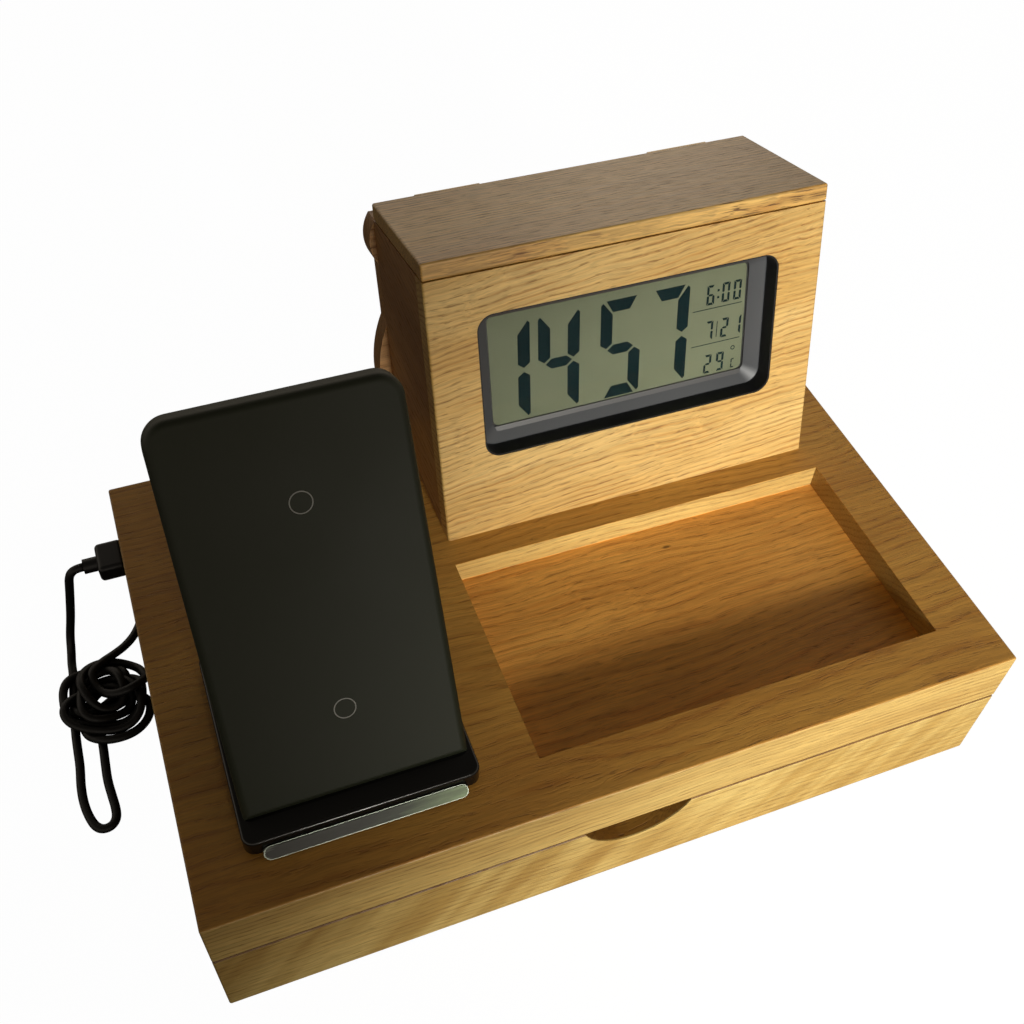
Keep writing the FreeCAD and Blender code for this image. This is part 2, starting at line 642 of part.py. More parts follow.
def tack_holes(leaf):
    holes = []
    for hinge in HINGES:
        for number, shift in enumerate(TACK_SIDES):
            name = f"{leaf}_tack_hole_{hinge}_{number}"
            x, y, z = tack_point(hinge, shift, leaf)
            reach = "tack_length + tack_gap"
            if leaf == "lid":
                holes.append(rod(name, "tack_radius + tack_gap", reach,
                                 (x, y + " - (" + reach + ")", z), "y"))
            else:
                holes.append(rod(name, "tack_radius + tack_gap", reach,
                                 (x, y + " + back_thick / 2", z + " - (" + reach + ")")))
    return holes


def make_tacks(leaf):
    tacks = []
    for hinge in HINGES:
        for number, shift in enumerate(TACK_SIDES):
            name = f"{leaf}_tack_{hinge}_{number}"
            x, y, z = tack_point(hinge, shift, leaf)
            if leaf == "lid":
                shank = rod(name + "_shank", "tack_radius", "tack_length + leaf_thick",
                            (x, y + " - tack_length", z), "y")
                head = rod(name + "_head", "tack_head_radius", "tack_head_thick",
                           (x, y + " + leaf_thick", z), "y")
            else:
                shank = rod(name + "_shank", "tack_radius", "tack_length + leaf_thick",
                            (x, y + " + back_thick / 2", z + " - tack_length"))
                head = rod(name + "_head", "tack_head_radius", "tack_head_thick",
                           (x, y + " + back_thick / 2", z + " + leaf_thick"))
            tacks.append(join(name, shank, head))
    finished(f"{leaf}_hinge_screws", in_housing(group(f"{leaf}_tack_set", *tacks)))


def knuckle(name, hinge, start, length):
    return rod(name, "knuckle_radius", length, (HINGES[hinge] + " + " + start, "hinge_y", "hinge_z"), "x")


def make_hinge(hinge):
    """Two leaves with interleaved knuckles: the lid's in the middle, the back board's either side."""
    middle = "knuckle_wide / 2"
    outer_start = middle + " + knuckle_gap"
    bore = "pin_radius + pin_gap"
    whole = "3 * knuckle_wide + 2 * knuckle_gap"
    lid_plate = box(f"lid_plate_{hinge}", ("leaf_length", "leaf_thick", "lid_thick - 2 * leaf_edge"),
                    (HINGES[hinge] + " - leaf_length / 2", "housing_depth",
                     "body_height + lid_gap + leaf_edge"))
    lid_web = box(f"lid_web_{hinge}",
                  ("knuckle_wide", "leaf_thick + knuckle_gap + knuckle_radius", "leaf_thick"),
                  (HINGES[hinge] + " - " + middle, "housing_depth", "hinge_z + knuckle_radius - leaf_thick"))
    lid_holes = [rod(f"lid_leaf_hole_{hinge}_{number}", "tack_radius + tack_gap", "leaf_thick + 2",
                     (tack_point(hinge, shift, "lid")[0], "housing_depth - 1",
                      tack_point(hinge, shift, "lid")[2]), "y")
                 for number, shift in enumerate(TACK_SIDES)]
    lid_knuckle = knuckle(f"lid_knuckle_{hinge}", hinge, "-" + middle, "knuckle_wide")
    lid_bore = rod(f"lid_bore_{hinge}", bore, "knuckle_wide + 2",
                   (HINGES[hinge] + " - " + middle + " - 1", "hinge_y", "hinge_z"), "x")
    lid_leaf = cut(f"lid_leaf_{hinge}_cut", join(f"lid_leaf_{hinge}_body", lid_plate, lid_web, lid_knuckle),
                   lid_bore, *lid_holes)
    finished(f"lid_leaf_{hinge}", in_housing(lid_leaf))

    back_plate = box(f"back_plate_{hinge}", ("leaf_length", "leaf_reach", "leaf_thick"),
                     (HINGES[hinge] + " - leaf_length / 2", "housing_depth + leaf_thick + knuckle_gap",
                      "body_height"))
    pieces = [back_plate]
    for number, start in enumerate((outer_start, "-(" + outer_start + " + knuckle_wide)")):
        pieces.append(knuckle(f"back_knuckle_{hinge}_{number}", hinge, start, "knuckle_wide"))
        pieces.append(box(f"back_web_{hinge}_{number}",
                          ("knuckle_wide", "leaf_thick", "leaf_thick + knuckle_gap + knuckle_radius"),
                          (HINGES[hinge] + " + " + start, "hinge_y + knuckle_radius - leaf_thick",
                           "body_height")))
    back_holes = [rod(f"back_leaf_hole_{hinge}_{number}", "tack_radius + tack_gap", "leaf_thick + 2",
                      (tack_point(hinge, shift, "back")[0], "housing_depth + back_thick / 2",
                       "body_height - 1"))
                  for number, shift in enumerate(TACK_SIDES)]
    back_bore = rod(f"back_bore_{hinge}", bore, whole + " + 2",
                    (HINGES[hinge] + " - (" + whole + ") / 2 - 1", "hinge_y", "hinge_z"), "x")
    back_leaf = cut(f"back_leaf_{hinge}_cut", join(f"back_leaf_{hinge}_body", *pieces),
                    back_bore, *back_holes)
    finished(f"back_leaf_{hinge}", in_housing(back_leaf))
    return rod(f"pin_{hinge}", "pin_radius", whole,
               (HINGES[hinge] + " - (" + whole + ") / 2", "hinge_y", "hinge_z"), "x")


def make_hinges():
    pins = [make_hinge(hinge) for hinge in HINGES]
    finished("hinge_pins", in_housing(group("hinge_pin_pair", *pins)))
    make_tacks("lid")
    make_tacks("back")


# ---------------------------------------------------------------- the clock module, in the housing's frame

def make_bezel():
    """The frame round the display: its visible rim slopes in to the glass."""
    outer = box("bezel_block", ("clock_width", "bezel_thick", "clock_height"),
                ("clock_left", "panel_thick", "clock_under"))
    smooth = rounded("bezel_smooth", outer, "clock_corner", deep_edges)
    bevel = doc.addObject("Part::Wedge", "bezel_bevel")
    bind(bevel, Xmin="window_left", Xmax="window_left + window_width", Zmin="window_rise",
         Zmax="window_rise + window_height", Ymin="panel_thick", Ymax="panel_thick + bevel_depth",
         X2min="lcd_left", X2max="lcd_left + lcd_width", Z2min="lcd_under", Z2max="lcd_under + lcd_height")
    sight = box("bezel_sight", ("lcd_width", "bezel_thick + 2", "lcd_height"),
                ("lcd_left", "panel_thick - 1", "lcd_under"))
    rebate = box("bezel_rebate",
                 ("lcd_width + 2 * glass_overlap", "bezel_thick", "lcd_height + 2 * glass_overlap"),
                 ("lcd_left - glass_overlap", "glass_front", "lcd_under - glass_overlap"))
    finished("clock_bezel", in_housing(cut("bezel_cut", smooth, bevel, sight, rebate)))


def make_display():
    """Glass, liquid crystal panel and circuit board, one behind the other."""
    over = "(glass_overlap - glass_gap)"
    sheet_at = ("lcd_left - " + over, "glass_front", "lcd_under - " + over)
    wide, high = "lcd_width + 2 * " + over, "lcd_height + 2 * " + over
    finished("clock_glass", leaning_box("clock_glass_sheet", (wide, "glass_thick", high), sheet_at, HOUSING))
    finished("lcd_panel", leaning_box("lcd_sheet", (wide, "lcd_thick", high),
                                      (sheet_at[0], "lcd_front", sheet_at[2]), HOUSING))
    inset = "(clock_wall + board_inset)"
    board = box("clock_board_sheet",
                ("clock_width - 2 * " + inset, "board_thick", "clock_height - 2 * " + inset),
                ("clock_left + " + inset, "board_front", "clock_under + " + inset))
    switches = [box(f"switch_{number}", ("button_height", "switch_height", "button_height"),
                    (button_x(number) + " - button_height / 2", "board_back",
                     "button_level - button_height / 2"))
                for number in range(4)]
    finished("clock_board", in_housing(join("clock_board_whole", board, *switches)))


def button_x(number):
    return f"housing_width / 2 + {number - 1.5} * button_pitch"


def make_rear_case():
    """The back shell, with its battery bay, board posts and button holes."""
    block = box("rear_block", ("clock_width", "clock_depth - bezel_thick", "clock_height"),
                ("clock_left", "case_shell_front", "clock_under"))
    smooth = rounded("rear_smooth", block, "clock_corner", deep_edges)
    hollow = box("rear_hollow_block",
                 ("clock_width - 2 * clock_wall", "case_inner_back - case_shell_front + 1",
                  "clock_height - 2 * clock_wall"),
                 ("clock_left + clock_wall", "case_shell_front - 1", "clock_under + clock_wall"))
    hollow_smooth = rounded("rear_hollow", hollow, "clock_corner - clock_wall", deep_edges)
    shell = cut("rear_shell", smooth, hollow_smooth)
    bay = box("bay_block",
              ("bay_width + 2 * bay_wall", "clock_back - bay_floor + bay_wall - door_thick",
               "bay_height + 2 * bay_wall"),
              ("bay_left - bay_wall", "bay_floor - bay_wall", "bay_under - bay_wall"))
    posts = [rod(f"post_{number}", "post_radius", "case_inner_back - board_back",
                 (x, "board_back", z), "y")
             for number, (x, z) in enumerate(POST_PLACES)]
    whole = join("rear_whole", shell, bay, *posts)
    bay_hole = box("bay_hole", ("bay_width", "bay_depth + door_thick + 1", "bay_height"),
                   ("bay_left", "bay_floor", "bay_under"))
    lap = "(door_lap + door_gap)"
    door_recess = box("door_recess", ("bay_width + 2 * " + lap, "door_thick + 1", "bay_height + 2 * " + lap),
                      ("bay_left - " + lap, "clock_back - door_thick", "bay_under - " + lap))
    holes = [box(f"button_hole_{number}",
                 ("button_width + 2 * button_gap", "clock_wall + 2", "button_height + 2 * button_gap"),
                 (button_x(number) + " - button_width / 2 - button_gap", "case_inner_back - 1",
                  "button_level - button_height / 2 - button_gap"))
             for number in range(4)]
    finished("clock_rear_case", in_housing(cut("rear_cut", whole, bay_hole, door_recess, *holes)))


def make_batteries():
    start = "bay_left + contact_thick + cell_gap"
    cells = []
    for number, level in enumerate(("cell_radius + cell_gap", "3 * cell_radius + 2 * cell_gap")):
        at_y, at_z = "bay_floor + cell_gap + cell_radius", "bay_under + " + level
        can = rod(f"cell_can_{number}", "cell_radius", "cell_length", (start, at_y, at_z), "x")
        nub = rod(f"cell_nub_{number}", "cell_nub_radius", "cell_nub",
                  (start + " + cell_length", at_y, at_z), "x")
        cells.append(join(f"cell_{number}", can, nub))
    finished("clock_cells", in_housing(group("cell_pair", *cells)))
    plates = [box(f"contact_{number}", ("contact_thick", "bay_depth - cell_gap", "bay_height - 2 * cell_gap"),
                  (x, "bay_floor", "bay_under + cell_gap"))
              for number, x in enumerate(("bay_left", "bay_left + bay_width - contact_thick"))]
    finished("battery_contacts", in_housing(group("contact_pair", *plates)))
    finished("battery_door",
             leaning_box("battery_door_plate",
                         ("bay_width + 2 * door_lap", "door_thick", "bay_height + 2 * door_lap"),
                         ("bay_left - door_lap", "clock_back - door_thick", "bay_under - door_lap"), HOUSING))


def make_buttons():
    """Four setting buttons, each kept in by a flange and reaching the board with a stem."""
    for number, name in enumerate(("mode", "set", "up", "down")):
        x = button_x(number)
        flange_y = "case_inner_back - button_flange - flange_gap"
        cap = box(f"button_cap_{name}",
                  ("button_width", "clock_back + button_proud - (" + flange_y + ")", "button_height"),
                  (x + " - button_width / 2", flange_y, "button_level - button_height / 2"))
        flange = box(f"button_flange_{name}",
                     ("button_width + 2 * button_flange", "button_flange",
                      "button_height + 2 * button_flange"),
                     (x + " - button_width / 2 - button_flange", flange_y,
                      "button_level - button_height / 2 - button_flange"))
        stem_from = "switch_back + button_travel + stem_gap"
        stem = rod(f"button_stem_{name}", "button_stem_radius", flange_y + " - (" + stem_from + ")",
                   (x, stem_from, "button_level"), "y")
        finished(f"clock_button_{name}", in_housing(join(f"button_{name}", cap, flange, stem)))


def make_clock_rests():
    """An oak shelf under the clock and two cleats that keep it against the front board."""
    shelf = leaning_box("shelf_strip", ("inner_housing", "clock_depth", "shelf_thick"),
                        ("side_thick", "panel_thick", "clock_under - shelf_clear - shelf_thick"), HOUSING)
    finished("clock_shelf", shelf)
    cleats = [box(f"cleat_{number}", ("cleat_width", "cleat_depth", "cleat_height"),
                  (x, "clock_back + shelf_clear", "clock_under + (clock_height - cleat_height) / 2"))
              for number, x in enumerate(("side_thick", "housing_width - side_thick - cleat_width"))]
    finished("clock_cleats", in_housing(group("cleat_pair", *cleats)))


# ---------------------------------------------------------------- the phone charging stand

def below_foot_cutter(name):
    """What lies below the foot's top, seen from the leaning head's frame."""
    block = doc.addObject("Part::Box", name)
    bind(block, Length="2 * pad_width", Width="pad_height", Height="pad_height")
    turn(block, (1, 0, 0), "pad_lean")
    place(block, "-pad_width", "pad_height * sin(pad_lean) - pad_height / 2 * cos(pad_lean)",
          "-pad_height * cos(pad_lean) - pad_height / 2 * sin(pad_lean)")
    return block


def top_corners(middle, way):
    return abs(way.y) > 0.9 and middle.z > value("pad_height") / 2


def make_head():
    """Front cover and back shell of the charging head, with the coils between them."""
    cover = box("cover_block", ("pad_width", "cover_thick", "pad_height"), ("-pad_width / 2", "0", "0"))
    cover = rounded("cover_corners", cover, "pad_corner", top_corners)
    cover = rounded("cover_soft", cover, "cover_round",
                    lambda middle, way: middle.y < 0.01 and abs(way.y) < 0.1)
    finished("charger_cover", in_pad(cut("cover_cut", cover, below_foot_cutter("cover_floor"))))

    shell = box("shell_block", ("pad_width", "shell_thick", "pad_height"),
                ("-pad_width / 2", "cover_thick", "0"))
    shell = rounded("shell_corners", shell, "pad_corner", top_corners)
    shell = rounded("shell_soft", shell, "shell_round",
                    lambda middle, way: middle.y > value("head_thick") - 0.01 and abs(way.y) < 0.1)
    hollow = box("shell_hollow",
                 ("pad_width - 4 * shell_wall", "shell_thick - shell_wall + 1",
                  "pad_height - 2 * shell_wall - pad_corner"),
                 ("-pad_width / 2 + 2 * shell_wall", "cover_thick - 1", "pad_corner"))
    finished("charger_shell",
             in_pad(cut("shell_cut", shell, hollow, below_foot_cutter("shell_floor"))))

    coils = []
    for name in ("coil_low", "coil_high"):
        disc = rod(name + "_disc", "coil_radius", "coil_thick", ("0", "cover_thick", name), "y")
        eye = rod(name + "_eye", "coil_hole", "coil_thick + 2", ("0", "cover_thick - 1", name), "y")
        coils.append(cut(name + "_ring", disc, eye))
    finished("charging_coils", in_pad(group("coil_pair", *coils)))
    half = "(coil_radius + ferrite_margin)"
    ferrite = leaning_box("ferrite_plate",
                          ("2 * " + half, "ferrite_thick", "coil_high - coil_low + 2 * " + half),
                          ("-" + half, "cover_thick + coil_thick", "coil_low - " + half), PAD)
    finished("ferrite_sheet", ferrite)


def make_foot():
    """The stand's foot, with the strut that props the head."""
    left_x = "charger_centre - foot_width / 2"
    block = box("foot_block", ("foot_width", "foot_length", "foot_height"),
                (left_x, "foot_front", "foot_under"))
    block = rounded("foot_corners", block, "foot_corner", upright_edges)
    block = rounded("foot_soft", block, "foot_round",
                    lambda middle, way: middle.z > value("foot_under + foot_height") - 0.01)
    hollow = box("foot_hollow",
                 ("foot_width - 2 * foot_wall - foot_corner", "foot_length - 2 * foot_wall - foot_corner",
                  "foot_height - foot_wall + 1"),
                 (left_x + " + foot_wall + foot_corner / 2", "foot_front + foot_wall + foot_corner / 2",
                  "foot_under - 1"))
    leg = doc.addObject("Part::Box", "leg_block")
    bind(leg, Length="leg_width", Width="leg_thick", Height="leg_height")
    turn(leg, (1, 0, 0), "leg_lean")
    place(leg, "charger_centre - leg_width / 2", "foot_front + foot_length - leg_thick - leg_inset",
          "foot_under + foot_height - foot_wall - leg_thick * sin(leg_lean)")
    before_shell = leaning_box("before_shell", ("2 * pad_width", "pad_height", "2 * pad_height"),
                               ("-pad_width", "head_thick - pad_height", "-pad_height / 2"), PAD)
    leg = cut("leg_cut", leg, before_shell)
    bosses = [rod(f"boss_{number}", "boss_radius", "boss_height + 0.5 * foot_wall",
                  (x, y, "charge_board_top"))
              for number, (x, y) in enumerate(BOSS_PLACES)]
    propped = cut("foot_cut", join("foot_and_leg", block, leg), hollow)
    finished("charger_foot", join("foot_whole", propped, *bosses))
    board = box("charge_board_sheet", ("charge_board_width", "charge_board_length", "board_thick"),
                ("charger_centre - charge_board_width / 2", "foot_front + charge_board_setback",
                 "charge_board_top - board_thick"))
    finished("charger_board", board)
    pads = [rod(f"foot_pad_{number}", "foot_rubber_radius", "foot_rubber", (x, y, "top"))
            for number, (x, y) in enumerate(FOOT_PAD_PLACES)]
    finished("charger_feet", group("foot_pads", *pads))
    strip = box("lip_block", ("lip_length", "lip_deep", "lip_height"),
                ("charger_centre - lip_length / 2", "foot_front - lip_deep", "top + lip_lift"))
    finished("charger_lip", rounded("lip_soft", strip, "0.48 * lip_height", deep_edges))


# ---------------------------------------------------------------- power: socket, lead inside, plug and cord

def make_socket():
    block = box("socket_block", ("socket_deep", "socket_wide", "socket_high"),
                ("left", "socket_y - socket_wide / 2", "socket_z - socket_high / 2"))
    mouth = box("socket_mouth", ("mouth_deep + 1", "mouth_wide", "mouth_high"),
                ("left - 1", "socket_y - mouth_wide / 2", "socket_z - mouth_high / 2"))
    tongue = box("socket_tongue", ("mouth_deep - tongue_setback", "tongue_wide", "tongue_thick"),
                 ("left + tongue_setback", "socket_y - tongue_wide / 2", "socket_z - tongue_thick / 2"))
    finished("side_socket", join("socket_whole", cut("socket_cut", block, mouth), tongue))


def tube(name, points, radius, bend=None):
    """A round cord along straight runs joined by tangent arcs. Prints each arc's radius."""
    spots = [FreeCAD.Vector(*point) for point in points]
    edges, radii, here = [], [], spots[0]
    for before, corner, after in zip(spots, spots[1:], spots[2:]):
        way_in, way_out = (corner - before).normalize(), (after - corner).normalize()
        turn_angle = way_in.getAngle(way_out)
        if bend:
            arc_radius = bend
            reach = bend * math.tan(turn_angle / 2)
        else:
            reach = 0.45 * min((corner - before).Length, (after - corner).Length)
            arc_radius = reach / math.tan(turn_angle / 2)
        radii.append(round(arc_radius, 1))
        start, end = corner - way_in * reach, corner + way_out * reach
        centre = start + (way_out - way_in * way_in.dot(way_out)).normalize() * arc_radius
        middle = centre + (corner - centre).normalize() * arc_radius
        edges.append(Part.LineSegment(here, start).toShape())
        edges.append(Part.Arc(start, middle, end).toShape())
        here = end
    edges.append(Part.LineSegment(here, spots[-1]).toShape())
    path = Part.Wire(edges)
    ring = Part.Wire(Part.Circle(spots[0], spots[1] - spots[0], radius).toShape())
    solid = path.makePipeShell([ring], True, False)
    ideal = math.pi * radius ** 2 * path.Length
    print(f"{name}: {path.Length:.1f} mm long, volume {solid.Volume:.0f} of {ideal:.0f}, radii {radii}")
    feature = doc.addObject("Part::Feature", name + "_tube")
    feature.Shape = solid
    return finished(name, feature)


def make_inner_lead():
    """The short lead inside the slab, from the socket to the stand's circuit board."""
    x, y, z = value("charger_centre"), value("riser_y"), value("socket_z")
    route = ((value("left + socket_deep"), value("socket_y"), z), (x, value("socket_y"), z), (x, y, z),
             (x, y, value("charge_board_top - board_thick")))
    tube("inner_lead", route, value("inner_lead_radius"), value("inner_bend"))
    width = "2 * (inner_lead_radius + groove_clear - strip_gap)"
    half = "(inner_lead_radius + groove_clear - strip_gap)"
    across = box("strip_across", ("charger_centre - left - socket_deep - strip_setback + " + half, width,
                  "strip_thick"),
                 ("left + socket_deep + strip_setback", "socket_y - " + half, "slab_under"))
    along = box("strip_along", (width, "socket_y - riser_y + 2 * " + half, "strip_thick"),
                ("charger_centre - " + half, "riser_y - " + half, "slab_under"))
    corner = box("strip_corner", ("inner_bend + 2 * " + half, "inner_bend + 2 * " + half, "strip_thick"),
                 ("charger_centre - inner_bend - " + half, "socket_y - inner_bend - " + half, "slab_under"))
    finished("lead_cover", join("strip_whole", across, along, corner))


def make_side_plug():
    """The plug in the case's side: moulded grip, ribbed relief and the metal shell in the socket."""
    grip = box("side_grip", ("plug_long", "plug_wide", "plug_high"),
               ("left - wall_clear - plug_long", "socket_y - plug_wide / 2", "socket_z - plug_high / 2"))
    grip = rounded("side_grip_soft", grip, "plug_round", all_edges)
    relief = rod("side_relief", "relief_radius", "relief_long + plug_round",
                 ("left - wall_clear - plug_long - relief_long", "socket_y", "socket_z"), "x")
    shell = box("side_shell_block", ("plug_shell_long + plug_round", "plug_shell_wide", "plug_shell_thick"),
                ("left - wall_clear - plug_round", "socket_y - plug_shell_wide / 2",
                 "socket_z - plug_shell_thick / 2"))
    hole = box("side_shell_hole",
               ("plug_shell_long + 1", "plug_shell_wide - 2 * plug_shell_wall",
                "plug_shell_thick - 2 * plug_shell_wall"),
               ("left - wall_clear", "socket_y - plug_shell_wide / 2 + plug_shell_wall",
                "socket_z - plug_shell_thick / 2 + plug_shell_wall"))
    finished("side_plug", join("side_plug_whole", grip, relief, cut("side_shell", shell, hole)))


# the cord's route and the corner of its bundle, chosen by hand
BUNDLE_CORNER = (-190, 20, 0.1)
DROP = ((-166.2, 73, 48.5), (-169, 73, 48.5), (-171.4, 73, 47), (-172.9, 73, 44), (-173.9, 73, 39),
        (-175.6, 73, 31), (-178, 73.1, 20), (-180.9, 72.3, 9.5), (-182.3, 68, 3.6), (-183.2, 63.2, 1.85),
        (-183.2, 58, 1.85))
LOOP = ((-186, 20, 1.85), (-186, 13.5, 1.85), (-186.9, 4.5, 1.85), (-186.4, -3.5, 1.85), (-184.9, -9.8, 1.85),
        (-182.7, -14.7, 1.85), (-179.6, -16.2, 1.85), (-176.9, -14.1, 1.85), (-176.7, -8.5, 1.85),
        (-176.9, 1, 1.85), (-176.6, 11, 1.85), (-176.6, 20, 1.85))
TAIL = ((-172, 57, 2.9), (-168.5, 61.6, 2.5), (-163, 65.8, 2), (-156.2, 69.6, 1.85), (-152.2, 77, 1.85),
        (-152.9, 87, 1.85), (-151.5, 97.5, 1.85), (-145.5, 106, 1.85), (-136.5, 109.5, 1.85),
        (-126, 109.8, 1.85), (-116.5, 109.2, 2.6), (-108.5, 109, 4), (-102, 109, 4))


def make_cord():
    radius = value("cord_radius")
    tube("lead_drop", DROP, radius)
    tube("lead_loop", LOOP, radius)
    tube("lead_tail", TAIL, radius)
    bundle = box("bundle_block", ("bundle_wide", "bundle_long", "bundle_high"), BUNDLE_CORNER)
    finished("lead_bundle", rounded("bundle_soft", bundle, "bundle_round", upright_edges))


def make_far_plug():
    """The plug at the cord's far end, put away on the table behind the case."""
    x, y, z = (str(number) for number in TAIL[-1])
    relief = rod("far_relief", "relief_radius", "relief_long + plug_round", (x, y, z), "x")
    grip = box("far_grip", ("far_plug_long", "plug_wide", "plug_high"),
               (x + " + relief_long", y + " - plug_wide / 2", z + " - plug_high / 2"))
    grip = rounded("far_grip_soft", grip, "plug_round", all_edges)
    shell = box("far_shell_block",
                ("far_shell_long + plug_round", "plug_shell_wide", "plug_shell_thick"),
                (x + " + relief_long + far_plug_long - plug_round", y + " - plug_shell_wide / 2",
                 z + " - plug_shell_thick / 2"))
    hole = box("far_shell_hole",
               ("far_shell_long + 1", "plug_shell_wide - 2 * plug_shell_wall",
                "plug_shell_thick - 2 * plug_shell_wall"),
               (x + " + relief_long + far_plug_long", y + " - plug_shell_wide / 2 + plug_shell_wall",
                z + " - plug_shell_thick / 2 + plug_shell_wall"))
    finished("far_plug", join("far_plug_whole", relief, grip, cut("far_shell", shell, hole)))


# ---------------------------------------------------------------- build, look over and write out

for make in (make_slab, make_case, make_runners, make_drawer_front, make_drawer_sides, make_drawer_inside,
             make_housing_front, make_housing_sides, make_housing_back, make_lid, make_hinges,
             make_bezel, make_display, make_rear_case, make_batteries, make_buttons, make_clock_rests,
             make_head, make_foot, make_socket, make_inner_lead, make_side_plug, make_cord, make_far_plug):
    make()
doc.recompute()

failed = [thing.Name for thing in doc.Objects if "Invalid" in thing.State or "Error" in thing.State]
empty = [node for node, thing in nodes if thing.Shape.isNull() or not thing.Shape.isValid()]
if failed or empty:
    raise RuntimeError(f"objects that failed: {failed}, sub-parts that are empty or not valid: {empty}")

for node, thing in nodes:
    thing.Shape.exportStep(f"parts/{node}.step")
print(f"{len(nodes)} sub-parts written")
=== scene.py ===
# %% [markdown]
# # An oak valet box with a drawer, a desk clock and a phone stand
#
# The box is a hollow oak case with a shallow tray cut into its top. A small leaning housing on
# the top holds a digital clock, and a black stand beside it charges a phone. This lesson dresses
# the solid model: it places the camera, lays the loose power cord, and gives every part the
# finish that it has on the real object. All lengths are in metres.

# %% Load the solid model
import math

import bmesh
import bpy
from mathutils import Matrix, Quaternion, Vector
from mathutils.kdtree import KDTree


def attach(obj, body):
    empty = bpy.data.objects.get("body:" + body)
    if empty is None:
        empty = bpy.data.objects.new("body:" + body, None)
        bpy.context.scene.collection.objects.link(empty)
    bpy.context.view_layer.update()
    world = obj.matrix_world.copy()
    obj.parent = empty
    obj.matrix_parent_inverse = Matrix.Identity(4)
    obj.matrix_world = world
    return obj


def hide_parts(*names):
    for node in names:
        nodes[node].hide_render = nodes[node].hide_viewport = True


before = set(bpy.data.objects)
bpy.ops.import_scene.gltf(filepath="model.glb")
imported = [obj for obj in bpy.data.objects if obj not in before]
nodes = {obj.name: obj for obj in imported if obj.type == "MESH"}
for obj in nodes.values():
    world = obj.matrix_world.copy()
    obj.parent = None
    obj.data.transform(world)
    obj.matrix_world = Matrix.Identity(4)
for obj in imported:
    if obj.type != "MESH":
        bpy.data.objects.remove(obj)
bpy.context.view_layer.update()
print("parts in the model:", len(nodes))

# %% [markdown]
# ## The camera
#
# The box stands on a table and the eye is above its front left corner, looking down at about
# fifty degrees. The camera could be aimed with a constraint, but two points and a small roll say
# the same thing in three plain numbers each, and nothing is left to change later.

# %% Place the camera
EYE = Vector((-0.12066, -0.24833, 0.41824))
AIM = Vector((-0.00121, 0.03151, 0.06550))
ROLL = math.radians(3.23)


def make_camera():
    lens = bpy.data.cameras.new("desk_camera")
    lens.sensor_width = 36
    lens.lens = 40.99
    lens.clip_start = 0.01
    camera = bpy.data.objects.new("desk_camera", lens)
    bpy.context.scene.collection.objects.link(camera)
    camera.rotation_mode = "QUATERNION"
    camera.location = EYE
    camera.rotation_quaternion = (AIM - EYE).to_track_quat("-Z", "Y") @ Quaternion((0, 0, 1), ROLL)
    bpy.context.scene.camera = camera
    return camera


camera = make_camera()
print("the camera is", round((AIM - EYE).length, 3), "m from the middle of the top")

# %% [markdown]
# ## The loose power cord
#
# A thin black lead leaves the plug in the box's left side, drops to the table and runs into a
# small tangled bundle. A narrow loop hangs out of the front of the bundle, and the far end turns
# round behind the box to its own plug. The points outside the bundle are listed one by one: the
# drop from the plug, the loop, and the tail.

# %% The cord outside its bundle
CORD_THICK = 0.0035
ON_TABLE = 0.00185  # height of the cord's middle where it lies on the table
DROP = [
    (-0.1662, 0.0730, 0.0485), (-0.1690, 0.0730, 0.0485), (-0.1714, 0.0730, 0.0470),
    (-0.1729, 0.0730, 0.0440), (-0.1739, 0.0730, 0.0390), (-0.1756, 0.0730, 0.0310),
    (-0.1780, 0.0731, 0.0200), (-0.1809, 0.0723, 0.0095), (-0.1823, 0.0680, 0.0036),
    (-0.1832, 0.0632, ON_TABLE), (-0.1832, 0.0580, ON_TABLE),
]
LOOP = [
    (-0.1846, 0.0450, ON_TABLE), (-0.1858, 0.0310, ON_TABLE), (-0.1860, 0.0200, ON_TABLE),
    (-0.1860, 0.0135, ON_TABLE), (-0.1869, 0.0045, ON_TABLE), (-0.1867, -0.0030, ON_TABLE),
    (-0.1856, -0.0090, ON_TABLE), (-0.1838, -0.0139, ON_TABLE), (-0.1811, -0.0160, ON_TABLE),
    (-0.1778, -0.0155, ON_TABLE), (-0.1758, -0.0128, ON_TABLE), (-0.1756, -0.0085, ON_TABLE),
    (-0.1762, -0.0030, ON_TABLE), (-0.1769, 0.0040, ON_TABLE), (-0.1767, 0.0115, ON_TABLE),
    (-0.1764, 0.0190, ON_TABLE),
]
TAIL = [
    (-0.1630, 0.0658, 0.0020), (-0.1562, 0.0696, ON_TABLE), (-0.1522, 0.0770, ON_TABLE),
    (-0.1529, 0.0870, ON_TABLE), (-0.1515, 0.0975, ON_TABLE), (-0.1455, 0.1060, ON_TABLE),
    (-0.1365, 0.1095, ON_TABLE), (-0.1260, 0.1098, ON_TABLE), (-0.1165, 0.1092, 0.0026),
    (-0.1085, 0.1090, 0.0040), (-0.1020, 0.1090, 0.0040),
]
print("points placed by hand:", len(DROP) + len(LOOP) + len(TAIL))

# %% [markdown]
# ## The turns of the bundle
#
# The spare length is wound round a hand's fingers and dropped, so its turns differ in size, lean
# different ways and lie over each other. Each row below says where the hand was at one angle of
# the winding: the middle of the turn, its half width and half length, and its lean. A loop walks
# along those rows in even steps. Every new point is then laid on the cord that is already below
# it, which is what keeps the turns a diameter apart.

